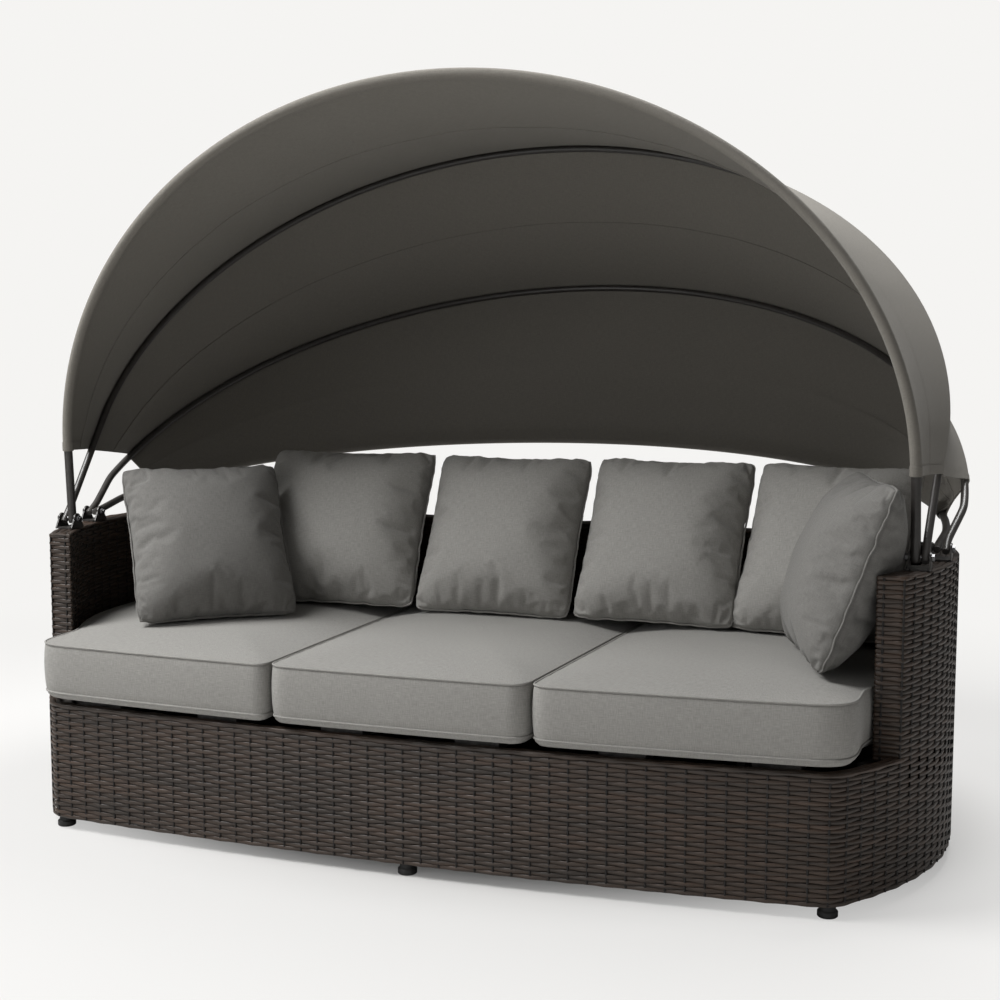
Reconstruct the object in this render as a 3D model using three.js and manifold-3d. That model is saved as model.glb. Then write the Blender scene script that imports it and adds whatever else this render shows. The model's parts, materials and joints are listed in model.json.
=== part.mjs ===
// Three-seat outdoor daybed with a folding canopy, in millimetres, with +Z up and +Y to the back.
// While it is built, Y = 0 is the axis of the front hinge pins. At the end the whole is moved
// along Y, so that the origin lies on the floor under the middle of the outline.

import * as THREE from 'three';
import { mergeVertices } from 'three/addons/utils/BufferGeometryUtils.js';
import Module from 'manifold-3d';

const wasm = await Module();
wasm.setup();

// Shared clearances
const touchGap = 0.3;
const cutOverrun = 5;

// Plan of the woven body: a half oval at the back, flared sides and a gently bowed front
const bodyWidth = 1990;
const widestY = 200;
const sideReach = 806;
const sidePower = 2;
const backReach = 325;
const backPower = 3.2;
const skirtFrontY = -290;
const skirtBow = 38;
const skirtCornerRun = 22;
const armFrontY = -102;

// Heights of the woven body
const footHeight = 22;
const weaveBottomZ = 24;
const skirtTopZ = 262;
const armTopZ = 612;

// Woven skins
const wallThickness = 50;
const skinThickness = 6;
const topEdgeRound = 3;
const skirtSkin = 12;
const skirtReturn = 26;
const backWeaveHalfWidth = 500;

// Steel frame inside the weave
const railWidth = 25;
const railHeight = 20;
const topRailDiameter = 22;
const postWidth = 22;
const seatRailWidth = 20;
const seatRailHeight = 30;
const seatRailDrop = 6;
const slatWidth = 90;
const slatThickness = 25;
const slatCount = 6;
const slatFromSide = 282.5;
const slatEndClearance = 4;
const armPostY = -64;
const hingePostY = 70;
const backPostX = 520;
const frontLegX = 480;
const frontLegInset = 30;

// Feet
const footDiameter = 38;
const footCollarDiameter = 30;
const footPadHeight = 12;
const footChamfer = 2;
const frontFootFromSide = 183;
const rearFootFromSide = 305;

// Canopy hinges
const pinRise = 22;
const pinDiameter = 8;
const pinClearance = 0.3;
const rearPinY = 140;
const earThickness = 3.5;
const earHeadRadius = 12;
const bracketLength = 46;
const bracketBaseThickness = 3.5;
const bracketCornerCut = 6;
const boltHeadAcross = 13;
const boltHeadThickness = 5;
const boltHeadSides = 6;
const nutThickness = 6;
const boltTail = 3;

// Canopy bows, each in its own plane, which is tilted up from level about the hinge pin. The inset
// is how far the arch stays in from the side of the body; one below zero reaches past the side.
const bowTail = 10;
const bowStraight = 40;
const frontBow = {
  diameter: 19, pinY: 0, tilt: 94.4, archInset: 68, archStart: 150, crown: 930, hem: 155,
};
const secondBow = {
  diameter: 16, pinY: 0, tilt: 49.8, archInset: 33, archStart: 300, crown: 1130, hem: 192,
};
const thirdBow = {
  diameter: 16, pinY: rearPinY, tilt: 28.9, archInset: -4, archStart: 140, crown: 1106, hem: 237,
};
const rearBow = {
  diameter: 16, pinY: rearPinY, tilt: 9, archInset: 29, archStart: 110, crown: 856, hem: 250,
};

// Canopy cloth
const clothThickness = 1.6;
const clothEase = 0.2;
const clothFacetTurn = 30;
const bayDipShare = 0.05;
const leastCrestTurn = 12;
const sleeveTurn = 205;

// Seat cushions
const seatCushionCount = 3;
const seatMiddleWidth = 560;
const seatFrontOverhang = 12;
const seatCushionGap = 2;
const seatCushionRise = 118;
const seatCrown = 25;
const seatLowerSeam = 16;
const seatLowerTuck = 22;
const seatSideSwell = 4;
const seatCornerRadius = 40;
const seatWallClearance = 8;
const seatCrownPower = 2.8;
const seatCrownShares = [0.965, 0.88, 0.72, 0.5, 0.25];

// Loose pillows, placed by the middle of their lower edge; turn is about the upright. The row at
// the back is set from the right: the spacing is the room to the next pillow or to the side, and
// is below zero where their turns make room for each other.
const backPillowCount = 4;
const backPillowSpare = 566;
const firstPillowExtra = 36;
const backPillow = {
  width: (bodyWidth - backPillowSpare) / backPillowCount, height: 396, thickness: 158,
};
const firstBackPillow = { ...backPillow, width: backPillow.width + firstPillowExtra };
const armPillow = { width: 350, height: 380, thickness: 134 };
const pillowDrawShare = 0.025;
const pillowFootDrawShare = 0.02;
const pillowEdgePower = 0.46;
const firstPillowPlace = { spacing: 7, fromBack: 282, turn: 4, lean: 30 };
const secondPillowPlace = { spacing: 5, fromBack: 275, turn: 0, lean: 30 };
const thirdPillowPlace = { spacing: -7, fromBack: 278, turn: -3, lean: 30 };
const fourthPillowPlace = { spacing: 111, fromBack: 307, turn: -11, lean: 29 };
const leftPillowPlace = { fromSide: 449, y: -12, turn: 41, lean: 32 };
const rightPillowPlace = { fromSide: 271, y: 16, turn: -72, lean: 21 };

// Fineness of the faceted surfaces
const planSamples = 60;
const wallPitch = 84;
const wallTurnStep = 9;
const tubeSides = 8;
const archSteps = 26;
const legSteps = 3;
const sleeveColumns = 5;
const roundSides = 12;
const footSides = 12;
const seatPitch = 105;
const seatTurnStep = 26;
const seatSamplePitch = 8;
const pillowCells = 10;

const degree = Math.PI / 180;
const halfTurn = Math.PI;
const quarterTurn = Math.PI / 2;
const half = 0.5;
const pinZ = armTopZ + touchGap + pinRise;
const wallMiddle = wallThickness / 2;
const deckZ = skirtTopZ - seatRailDrop;
const seatBaseZ = deckZ + touchGap + slatThickness + touchGap;
const baseRailTopZ = footHeight + touchGap + railHeight;
const topRailZ = armTopZ - skinThickness - touchGap - topRailDiameter / 2;

// Materials

function material(color, roughness, metalness) {
  return new THREE.MeshStandardMaterial({ color, roughness, metalness });
}

function wovenResin() {
  return material(0x3b2c25, 0.62, 0);
}

function paintedSteel() {
  return material(0x23211f, 0.45, 0.6);
}

function zincSteel() {
  return material(0x77777a, 0.35, 0.9);
}

function canopyCloth() {
  return material(0x6b6660, 0.85, 0);
}

function cushionCloth() {
  return material(0x8a8885, 0.9, 0);
}

function blackRubber() {
  return material(0x141313, 0.7, 0);
}

// General geometry

function lerp(a, b, share) {
  return a + (b - a) * share;
}

function smooth(share) {
  return share * share * (3 - 2 * share);
}

function signedArea(points) {
  let sum = 0;
  points.forEach((point, i) => {
    const next = points[(i + 1) % points.length];
    sum += point.x * next.y - next.x * point.y;
  });
  return sum / 2;
}

function signedVolume(positions, faces) {
  let sum = 0;
  for (const [a, b, c] of faces) {
    sum += positions[a].dot(positions[b].clone().cross(positions[c])) / 6;
  }
  return sum;
}

// A closed body from corner points and triangles, turned so that its faces point out
function bodyFrom(positions, faces) {
  const outward = signedVolume(positions, faces) > 0;
  const index = faces.flatMap(([a, b, c]) => (outward ? [a, b, c] : [a, c, b]));
  const numbers = positions.flatMap((point) => [point.x, point.y, point.z]);
  const geometry = new THREE.BufferGeometry();
  geometry.setAttribute('position', new THREE.Float32BufferAttribute(numbers, 3));
  geometry.setIndex(index);
  return geometry;
}

// Triangles that fill a flat outline, each turned the way the outline runs
function fillOutline(outline) {
  const along = Math.sign(signedArea(outline));
  return THREE.ShapeUtils.triangulateShape(outline, []).map(([a, b, c]) => {
    const turn = Math.sign(signedArea([outline[a], outline[b], outline[c]]));
    return turn === along ? [a, b, c] : [a, c, b];
  });
}

// Triangles between two rings; from corner turnedFrom on, each square is split the other way
function bandFaces(here, there, count, turnedFrom = count) {
  const faces = [];
  for (let j = 0; j < count; j += 1) {
    const k = (j + 1) % count;
    if (j < turnedFrom) {
      faces.push([here + j, here + k, there + k], [here + j, there + k, there + j]);
    } else {
      faces.push([here + j, here + k, there + j], [here + k, there + k, there + j]);
    }
  }
  return faces;
}

// A body through rings of equal point count, closed at both ends by the same cap
function loft(rings, capFaces, turnedFrom) {
  const count = rings[0].length;
  const faces = [];
  for (let i = 0; i < rings.length - 1; i += 1) {
    faces.push(...bandFaces(i * count, (i + 1) * count, count, turnedFrom));
  }
  const last = (rings.length - 1) * count;
  for (const [a, b, c] of capFaces) {
    faces.push([c, b, a], [last + a, last + b, last + c]);
  }
  return bodyFrom(rings.flat(), faces);
}

// A body through rings that run round and meet again
function closedLoft(rings) {
  const count = rings[0].length;
  const faces = rings.flatMap((_, i) => bandFaces(i * count, ((i + 1) % rings.length) * count, count));
  return bodyFrom(rings.flat(), faces);
}

// A body through rings that closes on a single point at each end
function domed(firstPoint, rings, lastPoint) {
  const count = rings[0].length;
  const positions = [firstPoint, ...rings.flat(), lastPoint];
  const lastRing = 1 + (rings.length - 1) * count;
  const faces = [];
  for (let i = 0; i < rings.length - 1; i += 1) {
    faces.push(...bandFaces(1 + i * count, 1 + (i + 1) * count, count));
  }
  for (let j = 0; j < count; j += 1) {
    const k = (j + 1) % count;
    faces.push([0, 1 + k, 1 + j], [lastRing + j, lastRing + k, positions.length - 1]);
  }
  return bodyFrom(positions, faces);
}

function toSolid(geometry) {
  const plain = geometry.clone();
  plain.deleteAttribute('normal');
  plain.deleteAttribute('uv');
  const merged = mergeVertices(plain);
  const mesh = new wasm.Mesh({
    numProp: 3,
    vertProperties: new Float32Array(merged.attributes.position.array),
    triVerts: new Uint32Array(merged.index.array),
  });
  return new wasm.Manifold(mesh);
}

function fromSolid(solid) {
  const mesh = solid.getMesh();
  const geometry = new THREE.BufferGeometry();
  geometry.setAttribute('position', new THREE.BufferAttribute(mesh.vertProperties, 3));
  geometry.setIndex(new THREE.BufferAttribute(mesh.triVerts, 1));
  return geometry;
}

function joined(...geometries) {
  return fromSolid(geometries.map(toSolid).reduce((whole, next) => whole.add(next)));
}

function cut(geometry, tool) {
  return fromSolid(toSolid(geometry).subtract(toSolid(tool)));
}

// A bar along X, with its middle at the given height
function crossBar(radius, fromX, toX, z = 0, sides = roundSides) {
  const bar = new THREE.CylinderGeometry(radius, radius, toX - fromX, sides);
  return bar.rotateZ(quarterTurn).translate((fromX + toX) / 2, 0, z);
}

function circlePoints(radius, sides) {
  return Array.from({ length: sides }, (_, i) => {
    const turn = (2 * halfTurn * i) / sides;
    return new THREE.Vector2(radius * Math.cos(turn), radius * Math.sin(turn));
  });
}

// Points along a line, at most a pitch and a turn apart, with both ends kept
function spaced(points, pitch, turnStep) {
  const weights = [0];
  for (let i = 1; i < points.length; i += 1) {
    const run = points[i].clone().sub(points[i - 1]);
    let weight = run.length() / pitch;
    if (i + 1 < points.length) {
      const next = points[i + 1].clone().sub(points[i]);
      weight += Math.abs(run.angleTo(next)) / (turnStep * degree);
    }
    weights.push(weights[i - 1] + weight);
  }
  const total = weights[weights.length - 1];
  const count = Math.ceil(total);
  const result = [];
  let at = 0;
  for (let i = 0; i <= count; i += 1) {
    const wanted = (total * i) / count;
    while (at < weights.length - 2 && weights[at + 1] < wanted) {
      at += 1;
    }
    const share = (wanted - weights[at]) / (weights[at + 1] - weights[at]);
    result.push(points[at].clone().lerp(points[at + 1], share));
  }
  return result;
}

// Plan outline of the body

function sideX(y) {
  const behind = y > widestY;
  const reach = behind ? backReach : sideReach;
  const power = behind ? backPower : sidePower;
  const share = Math.min(Math.abs(y - widestY) / reach, 1);
  return (bodyWidth / 2) * (1 - share ** power) ** (1 / power);
}

const cornerY = skirtFrontY + skirtBow;
const cornerX = sideX(cornerY);

function skirtY(x) {
  return skirtFrontY + skirtBow * (x / cornerX) ** 2;
}

function backArcPoint(share) {
  const turn = share * quarterTurn;
  const x = (bodyWidth / 2) * Math.cos(turn) ** (2 / backPower);
  const y = widestY + backReach * Math.sin(turn) ** (2 / backPower);
  return new THREE.Vector2(x, y);
}

// Right half of the outline, from the middle of the front to the middle of the back
function halfOutline() {
  const points = [];
  const arcEndX = cornerX - skirtCornerRun;
  const sideStartY = cornerY + skirtCornerRun;
  const corner = new THREE.QuadraticBezierCurve(
    new THREE.Vector2(arcEndX, skirtY(arcEndX)),
    new THREE.Vector2(cornerX, cornerY),
    new THREE.Vector2(sideX(sideStartY), sideStartY),
  );
  for (let i = 0; i < planSamples; i += 1) {
    const x = lerp(0, arcEndX, i / planSamples);
    points.push(new THREE.Vector2(x, skirtY(x)));
  }
  points.push(...corner.getPoints(planSamples));
  for (let i = 1; i < planSamples; i += 1) {
    const y = lerp(sideStartY, widestY, i / planSamples);
    points.push(new THREE.Vector2(sideX(y), y));
  }
  for (let i = 0; i <= planSamples; i += 1) {
    points.push(backArcPoint(i / planSamples));
  }
  return points;
}

// The whole outline as a loop from the middle of the back, round the left side and the front.
// No corner of it lies near the arms' fronts, so that every inset of it crosses them alike.
const bodyOutline = (() => {
  const clearance = wallPitch / 3;
  const front = halfOutline().filter((point) => point.y < armFrontY - clearance);
  const rear = halfOutline().filter((point) => point.y > armFrontY + clearance);
  const right = [front, rear].flatMap((points) => spaced(points, wallPitch, wallTurnStep));
  const left = right.map((point) => new THREE.Vector2(-point.x, point.y)).reverse();
  return [...left.slice(0, -1), ...right.slice(0, -1)];
})();

// A loop that runs anticlockwise, moved inwards by a constant distance
function insetLoop(loop, inset) {
  return loop.map((point, i) => {
    const before = loop[(i + loop.length - 1) % loop.length];
    const after = loop[(i + 1) % loop.length];
    const into = point.clone().sub(before).normalize();
    const out = after.clone().sub(point).normalize();
    const middle = into.clone().add(out).normalize();
    const stretch = inset / Math.max(middle.dot(into), half);
    return new THREE.Vector2(point.x - middle.y * stretch, point.y + middle.x * stretch);
  });
}

// Point where a loop crosses a line of constant Y, walking from a point inside that line
function crossingFrom(loop, index, step, y, wanted) {
  const count = loop.length;
  const following = (i) => (i + step + count) % count;
  let inside = index;
  while (wanted(loop[following(inside)])) {
    inside = following(inside);
  }
  const a = loop[inside];
  const b = loop[following(inside)];
  return a.clone().lerp(b, (y - a.y) / (b.y - a.y));
}

// The part of the outline before or behind a line of constant Y, at several insets.
// All the runs have the same number of points and end squarely on that line.
function runsAt(insets, y, inFront) {
  const loops = insets.map((inset) => insetLoop(bodyOutline, inset));
  const count = bodyOutline.length;
  const margin = wallPitch / tubeSides;
  const wanted = (point) => (inFront ? point.y < y : point.y > y);
  const clear = (i) => loops.every((loop) => wanted(loop[i]) && Math.abs(loop[i].y - y) > margin);
  const first = bodyOutline.findIndex((_, i) => clear(i) && !clear((i + count - 1) % count));
  const picked = [];
  for (let i = first; clear(i % count) && picked.length < count; i += 1) {
    picked.push(i % count);
  }
  const last = picked[picked.length - 1];
  return loops.map((loop) => [
    crossingFrom(loop, first, -1, y, wanted),
    ...picked.map((i) => loop[i]),
    crossingFrom(loop, last, 1, y, wanted),
  ]);
}

// Runs from the right arm's front round the back to the left arm's front
function wallRuns(insets) {
  return runsAt(insets, armFrontY, false);
}

// Runs from the left arm's front round the skirt to the right arm's front
function skirtRuns(insets) {
  return runsAt(insets, armFrontY - touchGap, true);
}

// A body whose section, given as insets and heights, follows the runs of the outline
function sectionAlong(section, runs) {
  const rings = runs[0].map((_, i) =>
    section.map((corner, j) => new THREE.Vector3(runs[j][i].x, runs[j][i].y, corner.z)),
  );
  return loft(rings, fillOutline(section.map((corner) => new THREE.Vector2(corner.inset, corner.z))));
}

function insetsOf(section) {
  return section.map((corner) => corner.inset);
}

function rectangleSection(nearInset, farInset, lowZ, highZ) {
  return [
    { inset: nearInset, z: lowZ },
    { inset: nearInset, z: highZ },
    { inset: farInset, z: highZ },
    { inset: farInset, z: lowZ },
  ];
}

// Woven skins

// A skin over the outside, the top and the inside of a wall, open below
function wallSection() {
  const shoulderZ = armTopZ - topEdgeRound;
  return [
    { inset: 0, z: weaveBottomZ },
    { inset: 0, z: shoulderZ },
    { inset: topEdgeRound, z: armTopZ },
    { inset: wallThickness - topEdgeRound, z: armTopZ },
    { inset: wallThickness, z: shoulderZ },
    { inset: wallThickness, z: weaveBottomZ },
    { inset: wallThickness - skinThickness, z: weaveBottomZ },
    { inset: wallThickness - skinThickness, z: armTopZ - skinThickness },
    { inset: skinThickness, z: armTopZ - skinThickness },
    { inset: skinThickness, z: weaveBottomZ },
  ];
}

const wallJoint = wallRuns([wallMiddle])[0].findIndex((point) => point.x < backWeaveHalfWidth);

// The runs between two of their points, moved back at a cut end to leave a touching gap
function partOfRuns(runs, from, to) {
  const trimmed = (end, next) => end.clone().lerp(next, touchGap / 2 / end.distanceTo(next));
  return runs.map((run) => {
    const part = run.slice(from, to + 1);
    if (from > 0) {
      part[0] = trimmed(part[0], part[1]);
    }
    if (to < run.length - 1) {
      part[part.length - 1] = trimmed(part[part.length - 1], part[part.length - 2]);
    }
    return part;
  });
}

// The woven cover of an arm's flat front, between the skins and over the base rail
function armFrontCover(side) {
  const overlap = skinThickness / 2;
  const insets = [overlap, wallThickness - overlap];
  const endOf = (run) => (side > 0 ? run[0] : run[run.length - 1]);
  const front = wallRuns(insets).map(endOf);
  const rear = runsAt(insets, armFrontY + skinThickness, false).map(endOf);
  const corners = [front[0], front[1], rear[1], rear[0]];
  return loft(
    [ringAt(corners, baseRailTopZ + touchGap), ringAt(corners, armTopZ - overlap)],
    fillOutline(corners),
  );
}

function ringAt(loop, z) {
  return loop.map((point) => new THREE.Vector3(point.x, point.y, z));
}

function sideWeave(side) {
  const section = wallSection();
  const runs = wallRuns(insetsOf(section));
  const last = runs[0].length - 1;
  const part = side > 0 ? partOfRuns(runs, 0, wallJoint) : partOfRuns(runs, last - wallJoint, last);
  return joined(sectionAlong(section, part), armFrontCover(side));
}

function backWeave() {
  const section = wallSection();
  const runs = wallRuns(insetsOf(section));
  return sectionAlong(section, partOfRuns(runs, wallJoint, runs[0].length - 1 - wallJoint));
}

function frontSkirtWeave() {
  const section = [
    { inset: 0, z: weaveBottomZ },
    { inset: 0, z: skirtTopZ - topEdgeRound },
    { inset: topEdgeRound, z: skirtTopZ },
    { inset: skirtReturn, z: skirtTopZ },
    { inset: skirtReturn, z: skirtTopZ - skirtSkin },
    { inset: skirtSkin, z: skirtTopZ - skirtSkin },
    { inset: skirtSkin, z: weaveBottomZ },
  ];
  return sectionAlong(section, skirtRuns(insetsOf(section)));
}

// Steel frame

function baseRail() {
  const outer = insetLoop(bodyOutline, wallMiddle - railWidth / 2);
  const inner = insetLoop(bodyOutline, wallMiddle + railWidth / 2);
  const lowZ = footHeight + touchGap;
  return closedLoft(outer.map((point, i) => [
    new THREE.Vector3(point.x, point.y, lowZ),
    new THREE.Vector3(point.x, point.y, lowZ + railHeight),
    new THREE.Vector3(inner[i].x, inner[i].y, lowZ + railHeight),
    new THREE.Vector3(inner[i].x, inner[i].y, lowZ),
  ]));
}

function topRail() {
  const section = circlePoints(topRailDiameter / 2, tubeSides).map((corner) => ({
    inset: wallMiddle + corner.x,
    z: topRailZ + corner.y,
  }));
  const startY = armFrontY + skinThickness + touchGap;
  return sectionAlong(section, runsAt(insetsOf(section), startY, false));
}

// Place on an inset outline nearest to a wanted spot, with the direction of the wall there
function spotOnOutline(x, y, inset) {
  const loop = insetLoop(bodyOutline, inset);
  const wanted = new THREE.Vector2(x, y);
  let best = { gap: Infinity };
  loop.forEach((a, i) => {
    const run = loop[(i + 1) % loop.length].clone().sub(a);
    const share = THREE.MathUtils.clamp(wanted.clone().sub(a).dot(run) / run.lengthSq(), 0, 1);
    const point = a.clone().addScaledVector(run, share);
    const gap = point.distanceTo(wanted);
    if (gap < best.gap) {
      best = { gap, point, turn: run.angle() };
    }
  });
  return best;
}

function sideSpot(side, y) {
  return spotOnOutline(side * (sideX(y) - wallMiddle), y, wallMiddle);
}

function backSpot(x) {
  return spotOnOutline(x, widestY + backReach, wallMiddle);
}

function frontSpot(x, inset) {
  return spotOnOutline(x, skirtY(x) + inset, inset);
}

function post(spot, highZ) {
  const lowZ = baseRailTopZ + touchGap;
  const shaft = new THREE.BoxGeometry(postWidth, postWidth, highZ - lowZ);
  return shaft.rotateZ(spot.turn).translate(spot.point.x, spot.point.y, (lowZ + highZ) / 2);
}

function wallPost(spot) {
  return post(spot, topRailZ - topRailDiameter / 2 - touchGap);
}

function frontLeg(x) {
  return post(frontSpot(x, frontLegInset), deckZ - seatRailHeight - touchGap);
}

function frontSeatRail() {
  const nearInset = skirtReturn + touchGap;
  const section = rectangleSection(nearInset, nearInset + seatRailWidth, deckZ - seatRailHeight, deckZ);
  return sectionAlong(section, skirtRuns(insetsOf(section)));
}

// A rail on the inside of the walls, which carries the rear ends of the slats
function wallSeatRail() {
  const nearInset = wallThickness + touchGap;
  const section = rectangleSection(nearInset, nearInset + seatRailWidth, deckZ - seatRailHeight, deckZ);
  return sectionAlong(section, wallRuns(insetsOf(section)));
}

// Y of the back wall at a given X, for a given distance in from the outline
function backWallY(x, inset) {
  const loop = insetLoop(bodyOutline, inset);
  for (let i = 0; i < loop.length; i += 1) {
    const a = loop[i];
    const b = loop[(i + 1) % loop.length];
    const behind = a.y > widestY && b.y > widestY;
    if (behind && (a.x - x) * (b.x - x) <= 0 && a.x !== b.x) {
      return lerp(a.y, b.y, (x - a.x) / (b.x - a.x));
    }
  }
  return widestY;
}

function seatSlat(number) {
  const pitch = (bodyWidth - 2 * slatFromSide) / (slatCount - 1);
  const x = (number - (slatCount - 1) / 2) * pitch;
  const outerX = Math.abs(x) + slatWidth / 2;
  const frontY = skirtY(outerX) + skirtReturn + slatEndClearance;
  const rearY = backWallY(outerX, wallThickness) - slatEndClearance;
  const slat = new THREE.BoxGeometry(slatWidth, rearY - frontY, slatThickness);
  return slat.translate(x, (rearY + frontY) / 2, deckZ + touchGap + slatThickness / 2);
}

// Feet

function foot(spot) {
  const pad = footDiameter / 2;
  const collar = footCollarDiameter / 2;
  const profile = [
    new THREE.Vector2(0, 0),
    new THREE.Vector2(pad - footChamfer, 0),
    new THREE.Vector2(pad, footChamfer),
    new THREE.Vector2(pad, footPadHeight),
    new THREE.Vector2(collar, footPadHeight + footChamfer),
    new THREE.Vector2(collar, footHeight),
    new THREE.Vector2(0, footHeight),
  ];
  const turned = new THREE.LatheGeometry(profile, footSides);
  return turned.rotateX(quarterTurn).translate(spot.point.x, spot.point.y, 0);
}

// Canopy hinges

// Two bow ends stand side by side between a bracket's ears, on the middle of the arm's top
function hingeAt(y, innerBow, outerBow) {
  const inside = innerBow.diameter + outerBow.diameter + 4 * touchGap;
  const centreX = sideSpot(1, y).point.x;
  innerBow.pinX = centreX - inside / 2 + touchGap + innerBow.diameter / 2;
  outerBow.pinX = centreX + inside / 2 - touchGap - outerBow.diameter / 2;
  return { y, centreX, halfInside: inside / 2, halfOutside: inside / 2 + earThickness };
}

const frontHinge = hingeAt(frontBow.pinY, frontBow, secondBow);
const rearHinge = hingeAt(rearBow.pinY, rearBow, thirdBow);

function earShape() {
  const halfFoot = bracketLength / 2;
  const shape = new THREE.Shape();
  shape.moveTo(-halfFoot, 0);
  shape.lineTo(-halfFoot, bracketBaseThickness);
  shape.lineTo(-earHeadRadius, pinRise);
  shape.absarc(0, pinRise, earHeadRadius, halfTurn, 0, true);
  shape.lineTo(halfFoot, bracketBaseThickness);
  shape.lineTo(halfFoot, 0);
  shape.closePath();
  return shape;
}

// An ear whose outline lies in Y and Z, from a given X
function bracketEar(startX) {
  const plate = new THREE.ExtrudeGeometry(earShape(), {
    depth: earThickness,
    bevelEnabled: false,
    curveSegments: tubeSides / 2,
  });
  return plate.rotateX(quarterTurn).rotateZ(quarterTurn).translate(startX, 0, 0);
}

function bracketBase(hinge) {
  const halfWidth = hinge.halfOutside;
  const halfLength = bracketLength / 2;
  const shape = new THREE.Shape([
    new THREE.Vector2(-halfWidth + bracketCornerCut, -halfLength),
    new THREE.Vector2(halfWidth - bracketCornerCut, -halfLength),
    new THREE.Vector2(halfWidth, -halfLength + bracketCornerCut),
    new THREE.Vector2(halfWidth, halfLength - bracketCornerCut),
    new THREE.Vector2(halfWidth - bracketCornerCut, halfLength),
    new THREE.Vector2(-halfWidth + bracketCornerCut, halfLength),
    new THREE.Vector2(-halfWidth, halfLength - bracketCornerCut),
    new THREE.Vector2(-halfWidth, -halfLength + bracketCornerCut),
  ]);
  return new THREE.ExtrudeGeometry(shape, { depth: bracketBaseThickness, bevelEnabled: false });
}

function hingeBracket(hinge, side) {
  const outerEar = bracketEar(hinge.halfInside);
  const innerEar = bracketEar(-hinge.halfOutside);
  const whole = joined(bracketBase(hinge), outerEar, innerEar);
  const reach = hinge.halfOutside + cutOverrun;
  const hole = crossBar(pinDiameter / 2 + pinClearance, -reach, reach, pinRise);
  return cut(whole, hole).translate(side * hinge.centreX, hinge.y, armTopZ + touchGap);
}

// A bolt through both ears, with its head on the outer side of the arm
function hingeBolt(hinge, side) {
  const seat = hinge.halfOutside + touchGap;
  const shank = crossBar(pinDiameter / 2, -seat - nutThickness - boltTail, seat + boltHeadThickness / 2);
  const head = crossBar(boltHeadAcross / Math.sqrt(3), seat, seat + boltHeadThickness, 0, boltHeadSides);
  const bolt = joined(shank, head);
  if (side < 0) {
    bolt.rotateZ(halfTurn);
  }
  return bolt.translate(side * hinge.centreX, hinge.y, pinZ);
}

function hingeNut(hinge, side) {
  const seat = hinge.halfOutside + touchGap;
  const radius = boltHeadAcross / Math.sqrt(3);
  const blank = crossBar(radius, -nutThickness / 2, nutThickness / 2, 0, boltHeadSides);
  const bore = crossBar(pinDiameter / 2 + pinClearance, -nutThickness, nutThickness);
  const x = hinge.centreX - seat - nutThickness / 2;
  return cut(blank, bore).translate(side * x, hinge.y, pinZ);
}

// Canopy bows. A bow's centre line is drawn flat, with X across and Y as the reach from the pin.

function archHalfWidth(bow) {
  return bodyWidth / 2 - bow.archInset;
}

function legX(bow, reach) {
  const share = THREE.MathUtils.clamp((reach - bowStraight) / (bow.archStart - bowStraight), 0, 1);
  const risen = Math.max(reach - bow.archStart, 0) / (bow.crown - bow.archStart);
  return lerp(bow.pinX, archHalfWidth(bow), smooth(share)) * Math.sqrt(1 - risen ** 2);
}

// Half of the arch, evenly from the right hem to the crown
function archHalf(bow) {
  const { hem } = bow;
  const rise = bow.crown - bow.archStart;
  const fineSteps = planSamples * tubeSides;
  const fine = [];
  for (let i = 0; i < fineSteps && hem < bow.archStart; i += 1) {
    const reach = lerp(hem, bow.archStart, i / fineSteps);
    fine.push(new THREE.Vector2(legX(bow, reach), reach));
  }
  const firstTurn = Math.asin(Math.max(hem - bow.archStart, 0) / rise);
  for (let i = 0; i <= fineSteps; i += 1) {
    const turn = lerp(firstTurn, quarterTurn, i / fineSteps);
    const x = archHalfWidth(bow) * Math.cos(turn);
    fine.push(new THREE.Vector2(x, bow.archStart + rise * Math.sin(turn)));
  }
  const curve = new THREE.SplineCurve(fine);
  curve.arcLengthDivisions = fine.length;
  return curve.getSpacedPoints(archSteps / 2);
}

// Points of a bare leg, from the tube's end under the pin to short of the hem
function legPoints(bow) {
  const reaches = [-bowTail];
  for (let i = 0; i < legSteps; i += 1) {
    reaches.push(lerp(bowStraight, bow.hem, i / legSteps));
  }
  return reaches.map((reach) => new THREE.Vector2(legX(bow, reach), reach));
}

// Stations along the whole bow, each with the direction away from the arch's inside
function bowStations(bow) {
  const right = [...legPoints(bow), ...archHalf(bow)];
  const left = right.slice(0, -1).reverse().map((point) => new THREE.Vector2(-point.x, point.y));
  const points = [...right, ...left];
  return points.map((point, i) => {
    const before = points[Math.max(i - 1, 0)];
    const after = points[Math.min(i + 1, points.length - 1)];
    const along = after.clone().sub(before).normalize();
    return { point, outward: new THREE.Vector2(along.y, -along.x) };
  });
}

function forwardOf(bow) {
  const tilt = bow.tilt * degree;
  return new THREE.Vector3(0, -Math.sin(tilt), Math.cos(tilt));
}

// Turns a flat point of the bow up into the bow's plane
function inBowPlane(bow, flat) {
  const tilt = bow.tilt * degree;
  return new THREE.Vector3(flat.x, bow.pinY + flat.y * Math.cos(tilt), pinZ + flat.y * Math.sin(tilt));
}

// A place round a bow's centre line; no turn faces out of the arch and a positive one forward
function aroundBow(bow, station, distance, turn) {
  const flat = station.point.clone().addScaledVector(station.outward, distance * Math.cos(turn));
  return inBowPlane(bow, flat).addScaledVector(forwardOf(bow), distance * Math.sin(turn));
}

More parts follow.
